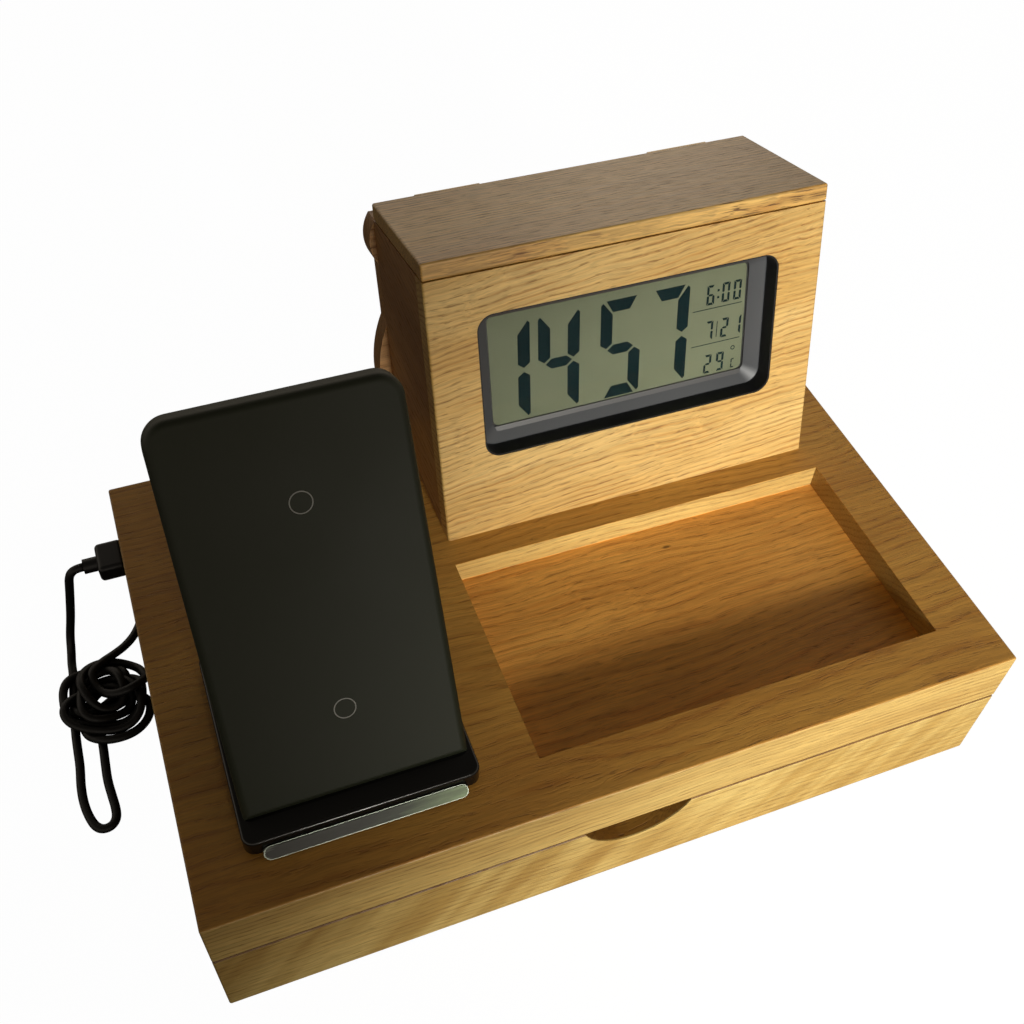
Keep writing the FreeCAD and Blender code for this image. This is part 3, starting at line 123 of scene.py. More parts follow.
# %% Wind the turns
# angle in degrees, middle x and y, half width, half length, lean in degrees
WINDING = [
    (0, -0.1664, 0.0300, 0.0098, 0.0095, 0),
    (180, -0.1668, 0.0318, 0.0096, 0.0100, 0),
    (360, -0.1710, 0.0345, 0.0142, 0.0118, 0),
    (540, -0.1715, 0.0375, 0.0142, 0.0135, 0),
    (720, -0.1762, 0.0455, 0.0114, 0.0118, 0),
    (900, -0.1765, 0.0455, 0.0110, 0.0112, 0),
    (1080, -0.1725, 0.0360, 0.0130, 0.0098, -22),
    (1260, -0.1715, 0.0365, 0.0135, 0.0092, -22),
    (1440, -0.1750, 0.0330, 0.0120, 0.0088, -22),
    (1620, -0.1740, 0.0400, 0.0120, 0.0090, -22),
    (1800, -0.1712, 0.0375, 0.0104, 0.0092, -10),
    (1980, -0.1745, 0.0402, 0.0100, 0.0096, 0),
    (2160, -0.1705, 0.0418, 0.0098, 0.0094, 0),
    (2340, -0.1655, 0.0450, 0.0088, 0.0088, 0),
    (2556, -0.1648, 0.0472, 0.0084, 0.0084, 0),
]
WAY_OUT = [(-0.1698, 0.0560), (-0.1667, 0.0613)]
TURN_STEP = 18  # degrees from one point to the next
CORD_GAP = 0.00362  # between the middles of two strands that touch
CORD_SLOPE = 0.75  # how steeply the cord may climb over itself
STRETCH = 10  # points laid at a time
NEWEST = 4  # spots of the last stretch that the next one simply runs on from


def hand_at(angle):
    """The row of the table at this angle, eased between the rows on both sides."""
    for here, there in zip(WINDING, WINDING[1:]):
        if here[0] <= angle <= there[0]:
            share = (angle - here[0]) / (there[0] - here[0])
            share = share * share * (3 - 2 * share)
            return [a + (b - a) * share for a, b in zip(here[1:], there[1:])]


def wound_points():
    points = []
    for angle in range(WINDING[0][0], WINDING[-1][0] + 1, TURN_STEP):
        x, y, wide, long, lean = hand_at(angle)
        turned = math.radians(angle)
        spot = Vector((-wide * math.cos(turned), long * math.sin(turned)))
        spot.rotate(Matrix.Rotation(math.radians(lean), 2))
        points.append((x + spot.x, y + spot.y))
    return points + WAY_OUT


def finely(points, step=0.002):
    """The same route with a spot every two millimetres."""
    fine = []
    for a, b in zip(points, points[1:]):
        a, b = Vector(a), Vector(b)
        count = max(1, int((b - a).length / step))
        fine += [a.lerp(b, i / count) for i in range(count)]
    return fine + [Vector(points[-1])]


def rest_height(x, y, below):
    """How high the cord's middle lies here, on the table or on a strand."""
    height = ON_TABLE
    for spot in below:
        away = math.hypot(x - spot.x, y - spot.y)
        if away < CORD_GAP:
            height = max(height, spot.z + math.sqrt(CORD_GAP**2 - away**2))
    return height


def ease_slopes(flat, heights, before):
    """Lift the points beside a hump, so that the cord climbs gently."""
    for _ in range(3):
        heights[0] = max(heights[0], before[2] - CORD_SLOPE * math.dist(flat[0], before[:2]))
        for i in range(1, len(flat)):
            run = CORD_SLOPE * math.dist(flat[i], flat[i - 1])
            heights[i] = max(heights[i], heights[i - 1] - run)
        for i in range(len(flat) - 2, -1, -1):
            run = CORD_SLOPE * math.dist(flat[i], flat[i + 1])
            heights[i] = max(heights[i], heights[i + 1] - run)
    return heights


def lay_down(flat):
    """Lay the turns a stretch at a time, each on all the cord that is already there."""
    below = finely(DROP + LOOP)[:-NEWEST]
    laid = []
    for start in range(0, len(flat), STRETCH):
        part = flat[start:start + STRETCH]
        under = below[:-NEWEST] if laid else below
        heights = [rest_height(x, y, under) for x, y in part]
        before = laid[-1] if laid else LOOP[-1]
        heights = ease_slopes(part, heights, before)
        new = [(x, y, z) for (x, y), z in zip(part, heights)]
        below += finely([before] + new)[1:]
        laid += new
    return laid


turns = lay_down(wound_points())
print("points in the bundle:", len(turns))

# %% [markdown]
# ## Let the bundle settle
#
# A real cord can't pass through itself, bends only gently and never gets longer. Three small
# moves repeated many times do the same: strands that lie too close are pushed apart, a sharp bend
# is shared with its neighbours, and each step of the line is brought back to its own length.
# Between them the cord sinks a little, until it rests on the table or on what is below it.

# %% Settle the bundle
CLEAR = 0.00365  # the middles of two strands come no closer
SAME_STRAND = 0.010  # spots closer than this along the cord don't push each other
LONGEST_PUSH = 0.0006
STIFFNESS = 0.28
LENGTH_KEPT = 0.35
SINK = 0.00005
LEFT_LIMIT, RIGHT_LIMIT = -0.18815, -0.1530


def line_samples(points):
    """Spots on the smooth line, the control points that carry each, and the length up to it."""
    spots, owners, lengths = [], [], []
    for i in range(1, len(points) - 1):
        before, here, after = points[i - 1:i + 2]
        spots += [(before + here) / 2, (before + 6 * here + after) / 8]
        owners += [(i - 1, i), (i,)]
    for k, spot in enumerate(spots):
        lengths.append(lengths[-1] + (spot - spots[k - 1]).length if k else 0.0)
    return spots, owners, lengths


def pushes(points):
    """How far each control point is pushed by strands that lie too close."""
    spots, owners, lengths = line_samples(points)
    tree = KDTree(len(spots))
    for k, spot in enumerate(spots):
        tree.insert(spot, k)
    tree.balance()
    moves = [Vector() for p in points]
    for k, spot in enumerate(spots):
        for other, j, away in tree.find_range(spot, CLEAR):
            if abs(lengths[j] - lengths[k]) > SAME_STRAND:
                push = (spot - other) * ((CLEAR - away) / max(away, 1e-5) / 2)
                for i in owners[k]:
                    moves[i] += push / len(owners[k])
    return moves


def bending(points):
    """How far each point lies from the middle between its neighbours."""
    middles = [(a + c) / 2 - b for a, b, c in zip(points, points[1:], points[2:])]
    return [Vector()] + middles + [Vector()]


def keep_lengths(points, steps, first, last):
    """Bring each step of the line part of the way back to its own length."""
    for i in range(first - 1, last):
        gap = points[i + 1] - points[i]
        fix = gap * (LENGTH_KEPT * (gap.length - steps[i]) / gap.length)
        if i >= first:
            points[i] += fix
        if i + 1 < last:
            points[i + 1] -= fix


def settle(points, first, last, rounds=200):
    """The points from first to last move, and the rest of the cord stays as it was laid."""
    points = [Vector(p) for p in points]
    steps = [(b - a).length for a, b in zip(points, points[1:])]
    for turn in range(rounds):
        moves, bends = pushes(points), bending(points)
        sink = SINK if turn < rounds * 0.75 else 0.0
        for i in range(first, last):
            move = moves[i]
            if move.length > LONGEST_PUSH:
                move = move * (LONGEST_PUSH / move.length)
            stiff = bends[i] - (bends[i - 1] + bends[i + 1]) / 2
            points[i] = points[i] + move + stiff * STIFFNESS
            points[i].z -= sink
        keep_lengths(points, steps, first, last)
        for i in range(first, last):
            points[i].x = min(max(points[i].x, LEFT_LIMIT), RIGHT_LIMIT)
            points[i].z = max(points[i].z, ON_TABLE)
    return [tuple(p) for p in points]


hand_placed = len(DROP + LOOP)
points_of_cord = settle(DROP + LOOP + turns + TAIL, hand_placed, hand_placed + len(turns) + 1)
knot = points_of_cord[hand_placed:hand_placed + len(turns)]
top_of_knot = max(p[2] for p in knot) + CORD_THICK / 2
print("the bundle's top is at", round(1000 * top_of_knot, 1), "mm")

# %% [markdown]
# ## The cord itself
#
# One NURBS curve follows the points, so the cord has no corners. A curve with a round bevel
# would already look right. It is made a mesh here, because a mesh shows its real box and can be
# checked: its doubled points are merged and its faces are turned outwards.


# %% Make the cord
def smooth_line(points):
    """One smooth line with these control points, with no thickness yet."""
    curve = bpy.data.curves.new("route", "CURVE")
    curve.dimensions = "3D"
    spline = curve.splines.new("NURBS")
    spline.points.add(len(points) - 1)
    for point, place in zip(spline.points, points):
        point.co = (*place, 1)
    spline.order_u = 3
    spline.use_endpoint_u = True
    curve.resolution_u = 6
    return bpy.data.objects.new("route", curve)


def tube_along(name, route, thick):
    """A closed round tube along a line, as a mesh, so that its box is the tube's own."""
    route.data.bevel_depth = thick / 2
    route.data.bevel_resolution = 4
    route.data.use_fill_caps = True
    mesh = bpy.data.meshes.new_from_object(route)
    mesh.name = name
    bm = bmesh.new()
    bm.from_mesh(mesh)
    bmesh.ops.remove_doubles(bm, verts=bm.verts, dist=1e-6)
    bmesh.ops.recalc_face_normals(bm, faces=bm.faces)
    for face in bm.faces:
        face.smooth = len(face.verts) == 4
    bm.to_mesh(mesh)
    bm.free()
    piece = bpy.data.objects.new(name, mesh)
    bpy.context.scene.collection.objects.link(piece)
    return piece


route = smooth_line(points_of_cord)
line = [tuple(v.co) for v in bpy.data.meshes.new_from_object(route).vertices]
cord = tube_along("power_cord", route, CORD_THICK)
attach(cord, "case")
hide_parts("lead_drop", "lead_loop", "lead_tail", "lead_bundle")
print("the cord is", round(sum(math.dist(a, b) for a, b in zip(line, line[1:])), 3), "m long")

# %% [markdown]
# ## Colours and nodes
#
# Blender mixes light in linear numbers, while colours are usually written as hex values for a
# screen, so one function turns one into the other. A finish is a small net of nodes that feed
# each other. One function adds a node with its settings and whatever feeds it, and every finish
# below is written with that.


# %% Helpers for finishes
BLENDED = {"data_type": "RGBA"}  # a mix of two colours
DARKENED = {"data_type": "RGBA", "blend_type": "MULTIPLY"}  # a colour laid over another
TIMES = {"operation": "MULTIPLY"}


def linear(code):
    parts = [int(code[i:i + 2], 16) / 255 for i in (1, 3, 5)]
    levels = [p / 12.92 if p <= 0.04045 else ((p + 0.055) / 1.055) ** 2.4 for p in parts]
    return (*levels, 1)


def feed(material, node, **inputs):
    """Feed a node with numbers, colours or the outputs of other nodes."""
    for name, given in inputs.items():
        numbered = name[1:].isdigit()
        socket = node.inputs[int(name[1:]) if numbered else name.replace("_", " ")]
        if isinstance(given, bpy.types.NodeSocket):
            material.node_tree.links.new(given, socket)
        else:
            socket.default_value = given


def add(material, kind, settings=None, stops=(), **inputs):
    """Add a node with its settings, its colour stops and what feeds it; give its outputs."""
    node = material.node_tree.nodes.new("ShaderNode" + kind)
    for name, setting in (settings or {}).items():
        setattr(node, name, setting)
    steps = node.color_ramp.elements if stops else ()
    while len(steps) < len(stops):
        steps.new(0.5)
    for step, (position, colour) in zip(steps, stops):
        step.position = position
        step.color = linear(colour)
    feed(material, node, **inputs)
    return node.outputs


def new_finish(name, **constants):
    material = bpy.data.materials.new(name)
    material.use_nodes = True
    shader = material.node_tree.nodes["Principled BSDF"]
    feed(material, shader, **constants)
    return material, shader


def stretched(long_mm, wide_mm, deep_mm=None):
    """The scale of a pattern this long and wide: how many of them fit in a metre."""
    return (1000 / long_mm, 1000 / wide_mm, 1000 / (deep_mm or wide_mm))


def paint(names, material):
    for name in names:
        slots = nodes[name].material_slots
        for slot in slots:
            slot.material = material
        if not slots:
            nodes[name].data.materials.append(material)
    print(material.name, "on", len(names), "part(s)")


print("white becomes", linear("#FFFFFF"))

# %% [markdown]
# ## The room
#
# The object stands on a plain white table in soft daylight, and a pale world fills the shadows.
# The table shows white to the camera, yet it lights the object as a duller grey one would. The
# world is brightest near the table and on the right, and shiny faces see more of it than dull
# ones do.


# %% Table and backdrop
def make_table():
    bm = bmesh.new()
    bmesh.ops.create_grid(bm, x_segments=1, y_segments=1, size=4)
    mesh = bpy.data.meshes.new("table_top")
    bm.to_mesh(mesh)
    bm.free()
    table = bpy.data.objects.new("table_top", mesh)
    bpy.context.scene.collection.objects.link(table)
    material, shader = new_finish("white_table", Roughness=0.8)
    seen = add(material, "LightPath")["Is Camera Ray"]
    top = add(material, "Mix", BLENDED, _0=seen, _6=linear("#7A7A7A"), _7=linear("#FFFFFF"))[2]
    feed(material, shader, Base_Color=top)
    white = add(material, "Emission", Color=linear("#FFFFFF"), Strength=1.02)[0]
    share = add(material, "Math", TIMES, _0=seen, _1=0.965)[0]
    mixed = add(material, "MixShader", _0=share, _1=shader.outputs[0], _2=white)[0]
    feed(material, material.node_tree.nodes["Material Output"], Surface=mixed)
    mesh.materials.append(material)


def make_world():
    world = bpy.data.worlds.new("daylight")
    bpy.context.scene.world = world
    world.use_nodes = True
    path = add(world, "LightPath")
    shown = add(world, "Math", {"operation": "MAXIMUM"},
                _0=path["Is Camera Ray"], _1=path["Is Transmission Ray"])[0]
    way = add(world, "SeparateXYZ", Vector=add(world, "TexCoord")["Generated"])
    low = add(world, "MapRange", Value=way["Z"], From_Min=0.05, From_Max=0.6,
              To_Min=0.72, To_Max=0.16)[0]
    shiny = add(world, "MapRange", Value=way["Z"], From_Min=0.45, From_Max=0.72,
                To_Min=1.0, To_Max=0.16)[0]
    low = add(world, "Mix", _0=path["Is Glossy Ray"], _2=low, _3=shiny)[0]
    side = add(world, "MapRange", Value=way["X"], From_Min=-0.6, From_Max=0.5,
               To_Min=0.14, To_Max=0.75)[0]
    side = add(world, "Math", {"operation": "MAXIMUM"}, _0=side, _1=path["Is Glossy Ray"])[0]
    power = add(world, "Math", TIMES, _0=low, _1=side)[0]
    fill = world.node_tree.nodes["Background"]
    feed(world, fill, Color=linear("#FFF1DE"), Strength=power)
    white = add(world, "Background", Color=(1, 1, 1, 1), Strength=1.0)[0]
    mixed = add(world, "MixShader", _0=shown, _1=fill.outputs[0], _2=white)[0]
    feed(world, world.node_tree.nodes["World Output"], Surface=mixed)


make_table()
make_world()
print("table and world are ready")

# %% [markdown]
# ## Two lamps
#
# One lamp low in front throws the light that makes the fronts bright and leaves the top in
# grazing light. It is a spot with a soft edge, so the light falls off to the left. A weak round
# lamp behind gives the back edges a little light of their own.


# %% Lamps
def make_lamp(name, kind, place, aim, power, size, colour="#FFFFFF"):
    data = bpy.data.lights.new(name, kind)
    data.energy = power
    data.color = linear(colour)[:3]
    if kind == "AREA":
        data.shape = "DISK"
        data.size = size
    else:
        data.shadow_soft_size = size
    lamp = bpy.data.objects.new(name, data)
    bpy.context.scene.collection.objects.link(lamp)
    lamp.location = place
    way = Vector(aim) - Vector(place)
    lamp.rotation_mode = "QUATERNION"
    lamp.rotation_quaternion = way.to_track_quat("-Z", "Y")
    return data


key = make_lamp("window_light", "SPOT", (0.05, -1.59, 0.474), (0.32, -0.095, -0.08),
                142, 0.10, "#FFFAF0")
key.spot_size = math.radians(32.4)
key.spot_blend = 0.5
make_lamp("back_light", "AREA", (0.7, 1.5, 0.40), (0, 0, 0.05), 0.8, 0.5, "#FFE9CC")
print("two lamps")

# %% [markdown]
# ## Oak: grain, rings and pores
#
# The boards are solid oak with an oiled finish. A tree grows in rings, and a board shows the
# rings where the saw cut them: as fine lines along an edge, and as wider flowing shapes on a
# face. So the pattern is built as the tree is, in three dimensions, with rings round a heart line
# that runs along the grain, and the board's own surfaces cut it. Rings are about 2.5 mm apart.
# The dark dashes are open pores, 0.4 mm wide and several millimetres long.


# %% Grain, rings and pores
def wavering(material, board, size, detail, reach):
    """A push of up to this reach in any direction."""
    sized = add(material, "Mapping", Vector=board, Scale=size)[0]
    push = add(material, "TexNoise", Vector=sized, Scale=1.0, Detail=detail)["Color"]
    push = add(material, "VectorMath", {"operation": "SUBTRACT"}, _0=push, _1=(0.5, 0.5, 0.5))[0]
    return add(material, "VectorMath", {"operation": "SCALE"}, _0=push, Scale=2 * reach)[0]


def grain_of(material, board, wander, ripple):
    """Places in the board, pushed about as the grain wanders slowly and ripples quickly."""
    slow = wavering(material, board, stretched(143, 50), 2.0, wander)
    quick = wavering(material, board, stretched(11, 16.7), 1.0, ripple)
    moved = add(material, "VectorMath", {"operation": "ADD"}, _0=board, _1=slow)[0]
    return add(material, "VectorMath", {"operation": "ADD"}, _0=moved, _1=quick)[0]


def rings_of(material, moved, ring):
    """White in the open early wood of each ring, black in its dense late wood."""
    across = add(material, "VectorMath", TIMES, _0=moved, _1=(0, 1, 1))[0]
    radius = add(material, "VectorMath", {"operation": "LENGTH"}, _0=across)["Value"]
    count = add(material, "Math", {"operation": "DIVIDE"}, _0=radius, _1=ring)[0]
    within = add(material, "Math", {"operation": "FRACT"}, _0=count)[0]
    return add(material, "ValToRGB", Fac=within,
               stops=[(0.0, "#8A8A8A"), (0.14, "#FFFFFF"), (0.45, "#4A4A4A"),
                      (0.86, "#000000"), (1.0, "#8A8A8A")])["Color"]


def pores_of(material, moved, early):
    """White where a pore is open, mostly in the early wood."""
    sized = add(material, "Mapping", Vector=moved, Scale=stretched(8.3, 0.435))[0]
    dashes = add(material, "TexNoise", Vector=sized, Scale=1.0, Detail=1.0)[0]
    pores = add(material, "MapRange", Value=dashes, From_Min=0.54, From_Max=0.64)[0]
    share = add(material, "Math", {"operation": "MULTIPLY_ADD"}, _0=early, _1=0.75, _2=0.25)[0]
    return add(material, "Math", TIMES, _0=pores, _1=share)[0]


print("ring lines are in the grain, and pores are in the rings")

# %% [markdown]
# ## Oak: its colours
#
# Wood is never one colour. Broad patches of lighter and darker wood come first, then fine fibres
# half a millimetre wide, then the rings, which show clearly in some places and fade in others.
# Some boards also have slanting stripes of painted sheen, where the grain's shimmer is drawn as
# fixed darker bands. Zones of a board get a tint of their own: the tray's floor is redder, and
# painted shade darkens the slab's top, the narrow gap over the drawer, the finger pull and the
# tray's right end.


# %% Colours of oak
def plain_wood(material, board, moved, light, dark, fibre_depth):
    """Broad patches of two colours, with fine fibres in them."""
    sized = add(material, "Mapping", Vector=board, Scale=stretched(111, 22))[0]
    patch = add(material, "TexNoise", Vector=sized, Scale=1.0, Detail=3.0)[0]
    patch = add(material, "MapRange", Value=patch, From_Min=0.32, From_Max=0.68)[0]
    wood = add(material, "Mix", BLENDED, _0=patch, _6=linear(light), _7=linear(dark))[2]
    sized = add(material, "Mapping", Vector=moved, Scale=stretched(42, 0.77))[0]
    fibres = add(material, "TexNoise", Vector=sized, Scale=1.0, Detail=2.0)[0]
    shade = add(material, "MapRange", Value=fibres, From_Min=0.36, From_Max=0.64,
                To_Min=1.0 - fibre_depth, To_Max=1.0 + 0.4 * fibre_depth)[0]
    return add(material, "VectorMath", {"operation": "SCALE"}, _0=wood, Scale=shade)[0]


def tint_rings(material, board, wood, early, ring_depth):
    """Browner early wood, which shows clearly in some places and fades in others."""
    sized = add(material, "Mapping", Vector=board, Scale=stretched(29, 6.7))[0]
    fade = add(material, "TexNoise", Vector=sized, Scale=1.0, Detail=2.0)[0]
    fade = add(material, "MapRange", Value=fade, From_Min=0.38, From_Max=0.62,
               To_Min=0.35 * ring_depth, To_Max=1.25 * ring_depth)[0]
    share = add(material, "Math", TIMES, _0=early, _1=fade)[0]
    return add(material, "Mix", DARKENED, _0=share, _6=wood, _7=linear("#C39B63"))[2]


def tint_sheen_stripes(material, board, wood, stripes):
    """Painted sheen: slanting darker stripes, 12 mm wide, that stand for the grain's shimmer."""
    lean = add(material, "Mapping", Vector=board, Rotation=(0, math.radians(-33), 0))[0]
    sized = add(material, "Mapping", Vector=lean, Scale=stretched(12, 100))[0]
    # painted sheen: darker slanting bands where the shimmer of the grain would show
    sheen_bands = add(material, "TexNoise", Vector=sized, Scale=1.0, Detail=2.0)[0]
    sheen_bands = add(material, "MapRange", Value=sheen_bands, From_Min=0.40, From_Max=0.62, To_Max=stripes)[0]
    return add(material, "Mix", DARKENED, _0=sheen_bands, _6=wood, _7=linear("#CDB78C"))[2]


def tint_zones(material, here, wood, zones):
    """A zone's limits are (axis, edge, 1 for past the edge or -1 for short of it)."""
    place = add(material, "SeparateXYZ", Vector=here)
    for tint, limits in zones:
        inside = 1.0
        for axis, edge, sign in limits:
            side = {"operation": "GREATER_THAN" if sign > 0 else "LESS_THAN"}
            past = add(material, "Math", side, _0=place[axis], _1=edge)[0]
            inside = add(material, "Math", TIMES, _0=inside, _1=past)[0]
        wood = add(material, "Mix", DARKENED, _0=inside, _6=wood, _7=(*tint, 1))[2]
    return wood


def draw_knot(material, here, wood, knot):
    """A dark pin knot, 4 mm long and 1.5 mm wide."""
    spot = add(material, "Mapping", {"vector_type": "TEXTURE"}, Vector=here,
               Location=knot, Scale=(0.0019, 0.0007, 1.0))[0]
    away = add(material, "VectorMath", {"operation": "LENGTH"}, _0=spot)["Value"]
    near = add(material, "MapRange", Value=away, From_Min=1.3, From_Max=0.5, To_Max=0.75)[0]
    return add(material, "Mix", BLENDED, _0=near, _6=wood, _7=linear("#4A2A12"))[2]


print("oak has patches, fibres, rings, stripes and zones")

# %% [markdown]
# ## Oak: the whole finish
#
# The steps are put together here. Oil leaves oak satin, so it is half rough with a thin coat
# over it, and the pores are rougher and a quarter of a millimetre deep.


# %% Oak finish
def make_oak(name, heart, turn=(0, 0, 0), light="#E0B872", dark="#C59A5C", ring=0.0026,
             wander=0.006, ripple=0.0006, stripes=0.0, zones=(), knot=None,
             ring_depth=0.5, pore_depth=0.7, fibre_depth=0.16, wax=0.06):
    """heart: where the tree's middle line passes the origin; turn: takes the grain to X."""
    material, shader = new_finish(name, Roughness=0.48, IOR=1.46, Coat_Weight=wax,
                                  Coat_Roughness=0.35)
    here = add(material, "TexCoord")["Object"]
    board = add(material, "Mapping", Vector=here, Rotation=turn, Location=heart)[0]
    moved = grain_of(material, board, wander, ripple)
    early = rings_of(material, moved, ring)
    pores = pores_of(material, moved, early)
    wood = plain_wood(material, board, moved, light, dark, fibre_depth)
    wood = tint_rings(material, board, wood, early, ring_depth)
    if stripes:
        wood = tint_sheen_stripes(material, board, wood, stripes)
    wood = tint_zones(material, here, wood, zones)
    if knot:
        wood = draw_knot(material, here, wood, knot)
    share = add(material, "Math", TIMES, _0=pores, _1=pore_depth)[0]
    wood = add(material, "Mix", BLENDED, _0=share, _6=wood, _7=linear("#5E3F1E"))[2]
    rough = add(material, "Math", {"operation": "MULTIPLY_ADD"}, _0=pores, _1=0.3, _2=0.44)[0]
    depth = add(material, "Math", TIMES, _0=pores, _1=-1.0)[0]
    bump = add(material, "Bump", Strength=0.35, Distance=0.00025, Height=depth)[0]
    feed(material, shader, Base_Color=wood, Roughness=rough, Normal=bump)
    return material


print("grain runs along X unless a board turns it")

# %% [markdown]
# ## The oak boards
#
# Each board is cut from its own place in the tree, so each has its own heart line. Painted shade
# makes the slab's top darker and browner, as it lies in grazing light, and the tray's floor is
# redder. Painted shade also darkens the narrow gap over the drawer, the finger pull and the tray's
# right end. The drawer's front has slanting stripes of painted sheen, and the grain of the clock's
# front rises a little.

# %% Paint the boards
ALONG_Y = (0, 0, math.radians(-90))
RISING = (0, math.radians(5), 0)
# painted shade: the slab's top is darker and browner, as it lies in grazing light
SLAB_TOP_SHADE = [("Z", 0.0652, 1)]
# painted shade in the narrow gap under the slab's front
SLAB_GAP_SHADE = [("Z", 0.0412, -1)]
TRAY_SIDES = [("Y", -0.0748, 1), ("Y", 0.0138, -1)]
TRAY = [("X", -0.0315, 1), ("X", 0.1285, -1), *TRAY_SIDES, ("Z", 0.0550, -1), ("Z", 0.0500, 1)]
# painted shade on the tray's right end wall
TRAY_END_SHADE = [("X", 0.1281, 1), ("X", 0.1289, -1), *TRAY_SIDES, ("Z", 0.0651, -1)]
# painted shade on the drawer front's top edge, in the gap under the slab
DRAWER_GAP_SHADE = [("Z", 0.0393, 1)]
# painted shade inside the finger pull
PULL_SHADE = [("Y", -0.0945, 1), ("Z", 0.0257, 1), ("X", -0.0206, 1), ("X", 0.0206, -1)]

# on the slab: painted shade on its top, in the gap under its front and on the tray's right end; the
# tray's floor is redder wood
paint(["top_slab"], make_oak(
    "oak_slab", (0, 0.16, 0.12), light="#DCBC72", dark="#C39F5A", ring=0.0026, wander=0.009,
    ring_depth=0.42, pore_depth=0.5, knot=(0.0549, 0.0025, 0.0515),
    zones=[((0.88, 0.66, 0.38), SLAB_TOP_SHADE), ((0.45, 0.38, 0.30), SLAB_GAP_SHADE),
           ((1.24, 0.90, 0.57), TRAY), ((0.66, 0.60, 0.50), TRAY_END_SHADE)]))
# on the drawer front: slanting stripes of painted sheen, and painted shade in the gap over it and
# in its finger pull
paint(["drawer_front"], make_oak(
    "oak_drawer_front", (0, 0.30, 0.21), light="#E2C67C", dark="#CAA962", ring=0.0024,
    wander=0.006, stripes=0.6, ring_depth=0.32, pore_depth=0.5,
    zones=[((0.35, 0.26, 0.18), DRAWER_GAP_SHADE), ((0.50, 0.34, 0.17), PULL_SHADE)]))
paint(["case_side_left", "case_side_right"], make_oak("oak_case_side", (0.1, 0.05, 0.09), ALONG_Y))
paint(["case_back"], make_oak("oak_case_back", (0.3, -0.20, 0.12)))
paint(["housing_front"], make_oak(
    "oak_clock_front", (0.05, 0.05, 0.17), RISING, light="#E3C17B", dark="#D0A75D", ring=0.0026,
    wander=0.010, ripple=0.0007, ring_depth=0.62, pore_depth=0.60))
paint(["housing_side_left", "housing_side_right"],
      make_oak("oak_clock_side", (0.2, 0.06, 0.05), ALONG_Y, light="#B88A52", dark="#8E6434"))
paint(["housing_back"],
      make_oak("oak_clock_back", (0.1, -0.25, 0.10), light="#B88A52", dark="#8E6434"))
paint(["housing_lid"], make_oak(
    "oak_lid", (0.15, 0.35, -0.30), light="#EEC572", dark="#D2A55C", ring=0.0022, wander=0.004,
    pore_depth=0.95, fibre_depth=0.3, wax=0.4))

# %% [markdown]
# ## The hidden wood
#
# The drawer's box, the runners and the rests inside are plain pale beech, so the same pattern is
# made lighter and quieter.

# %% Inner wood finish
paint(["case_bottom", "runner_left", "runner_right", "drawer_stop", "drawer_side_left",
       "drawer_side_right", "drawer_back", "drawer_bottom", "drawer_dowels", "clock_shelf",
       "clock_cleats", "lead_cover"],
      make_oak("inner_beech", (0.1, 0.15, 0.12), light="#E2C391", dark="#CFA873", ring=0.004,
               wander=0.004, ripple=0.0003))

# %% [markdown]
# ## Plain finishes
#
# Moulded plastic, brass, felt and the rest need less than the oak, but none of them is one flat
# colour: moulded plastic has a fine grain from its mould, metal has faint lines from polishing,
# and felt has a loose nap.


# %% Moulded plastic, metal and felt
def make_plastic(name, colour, rough, grain_mm=0.6, depth=0.00004, **constants):
    """The mould's grain of 0.1 mm is too fine to show, so it is drawn at 0.6 mm."""
    material, shader = new_finish(name, Roughness=rough, IOR=1.46, **constants)
    here = add(material, "TexCoord")["Object"]
    grain = add(material, "TexNoise", Vector=here, Scale=1000 / grain_mm, Detail=2.0)[0]
    patch = add(material, "TexNoise", Vector=here, Scale=1000 / 33, Detail=2.0)[0]
    shade = add(material, "MapRange", Value=patch, To_Min=0.92, To_Max=1.08)[0]
    tinted = add(material, "VectorMath", {"operation": "SCALE"},
                 _0=linear(colour)[:3], Scale=shade)[0]
    worn = add(material, "MapRange", Value=patch, To_Min=rough - 0.04, To_Max=rough + 0.04)[0]
    bump = add(material, "Bump", Strength=0.25, Distance=depth, Height=grain)[0]
    feed(material, shader, Base_Color=tinted, Roughness=worn, Normal=bump)
    return material


def make_metal(name, colour, rough, brushed=(2.5, 2.5)):
    """brushed: the size of its polishing marks, drawn coarser than the real ones."""
    material, shader = new_finish(name, Metallic=1.0, Roughness=rough)
    here = add(material, "TexCoord")["Object"]
    sized = add(material, "Mapping", Vector=here, Scale=stretched(*brushed))[0]
    lines = add(material, "TexNoise", Vector=sized, Scale=1.0, Detail=3.0)[0]
    shade = add(material, "MapRange", Value=lines, To_Min=0.85, To_Max=1.1)[0]
    tinted = add(material, "VectorMath", {"operation": "SCALE"},
                 _0=linear(colour)[:3], Scale=shade)[0]
    worn = add(material, "MapRange", Value=lines, To_Min=rough - 0.06, To_Max=rough + 0.08)[0]
    feed(material, shader, Base_Color=tinted, Roughness=worn)
    return material


def make_felt(name, colour, pale):
    """Wool fibres are too fine to show, so the nap is drawn as tufts 1.1 mm wide."""
    material, shader = new_finish(name, Roughness=0.95, IOR=1.4, Sheen_Weight=0.35,
                                  Sheen_Roughness=0.5)
    here = add(material, "TexCoord")["Object"]
    nap = add(material, "TexNoise", Vector=here, Scale=1000 / 1.1, Detail=4.0)[0]
    tint = add(material, "ValToRGB", Fac=nap, stops=[(0.3, colour), (0.7, pale)])[0]
    bump = add(material, "Bump", Strength=0.6, Distance=0.0003, Height=nap)[0]
    feed(material, shader, Base_Color=tint, Normal=bump)
    return material


print("plastic, metal and felt can be made")

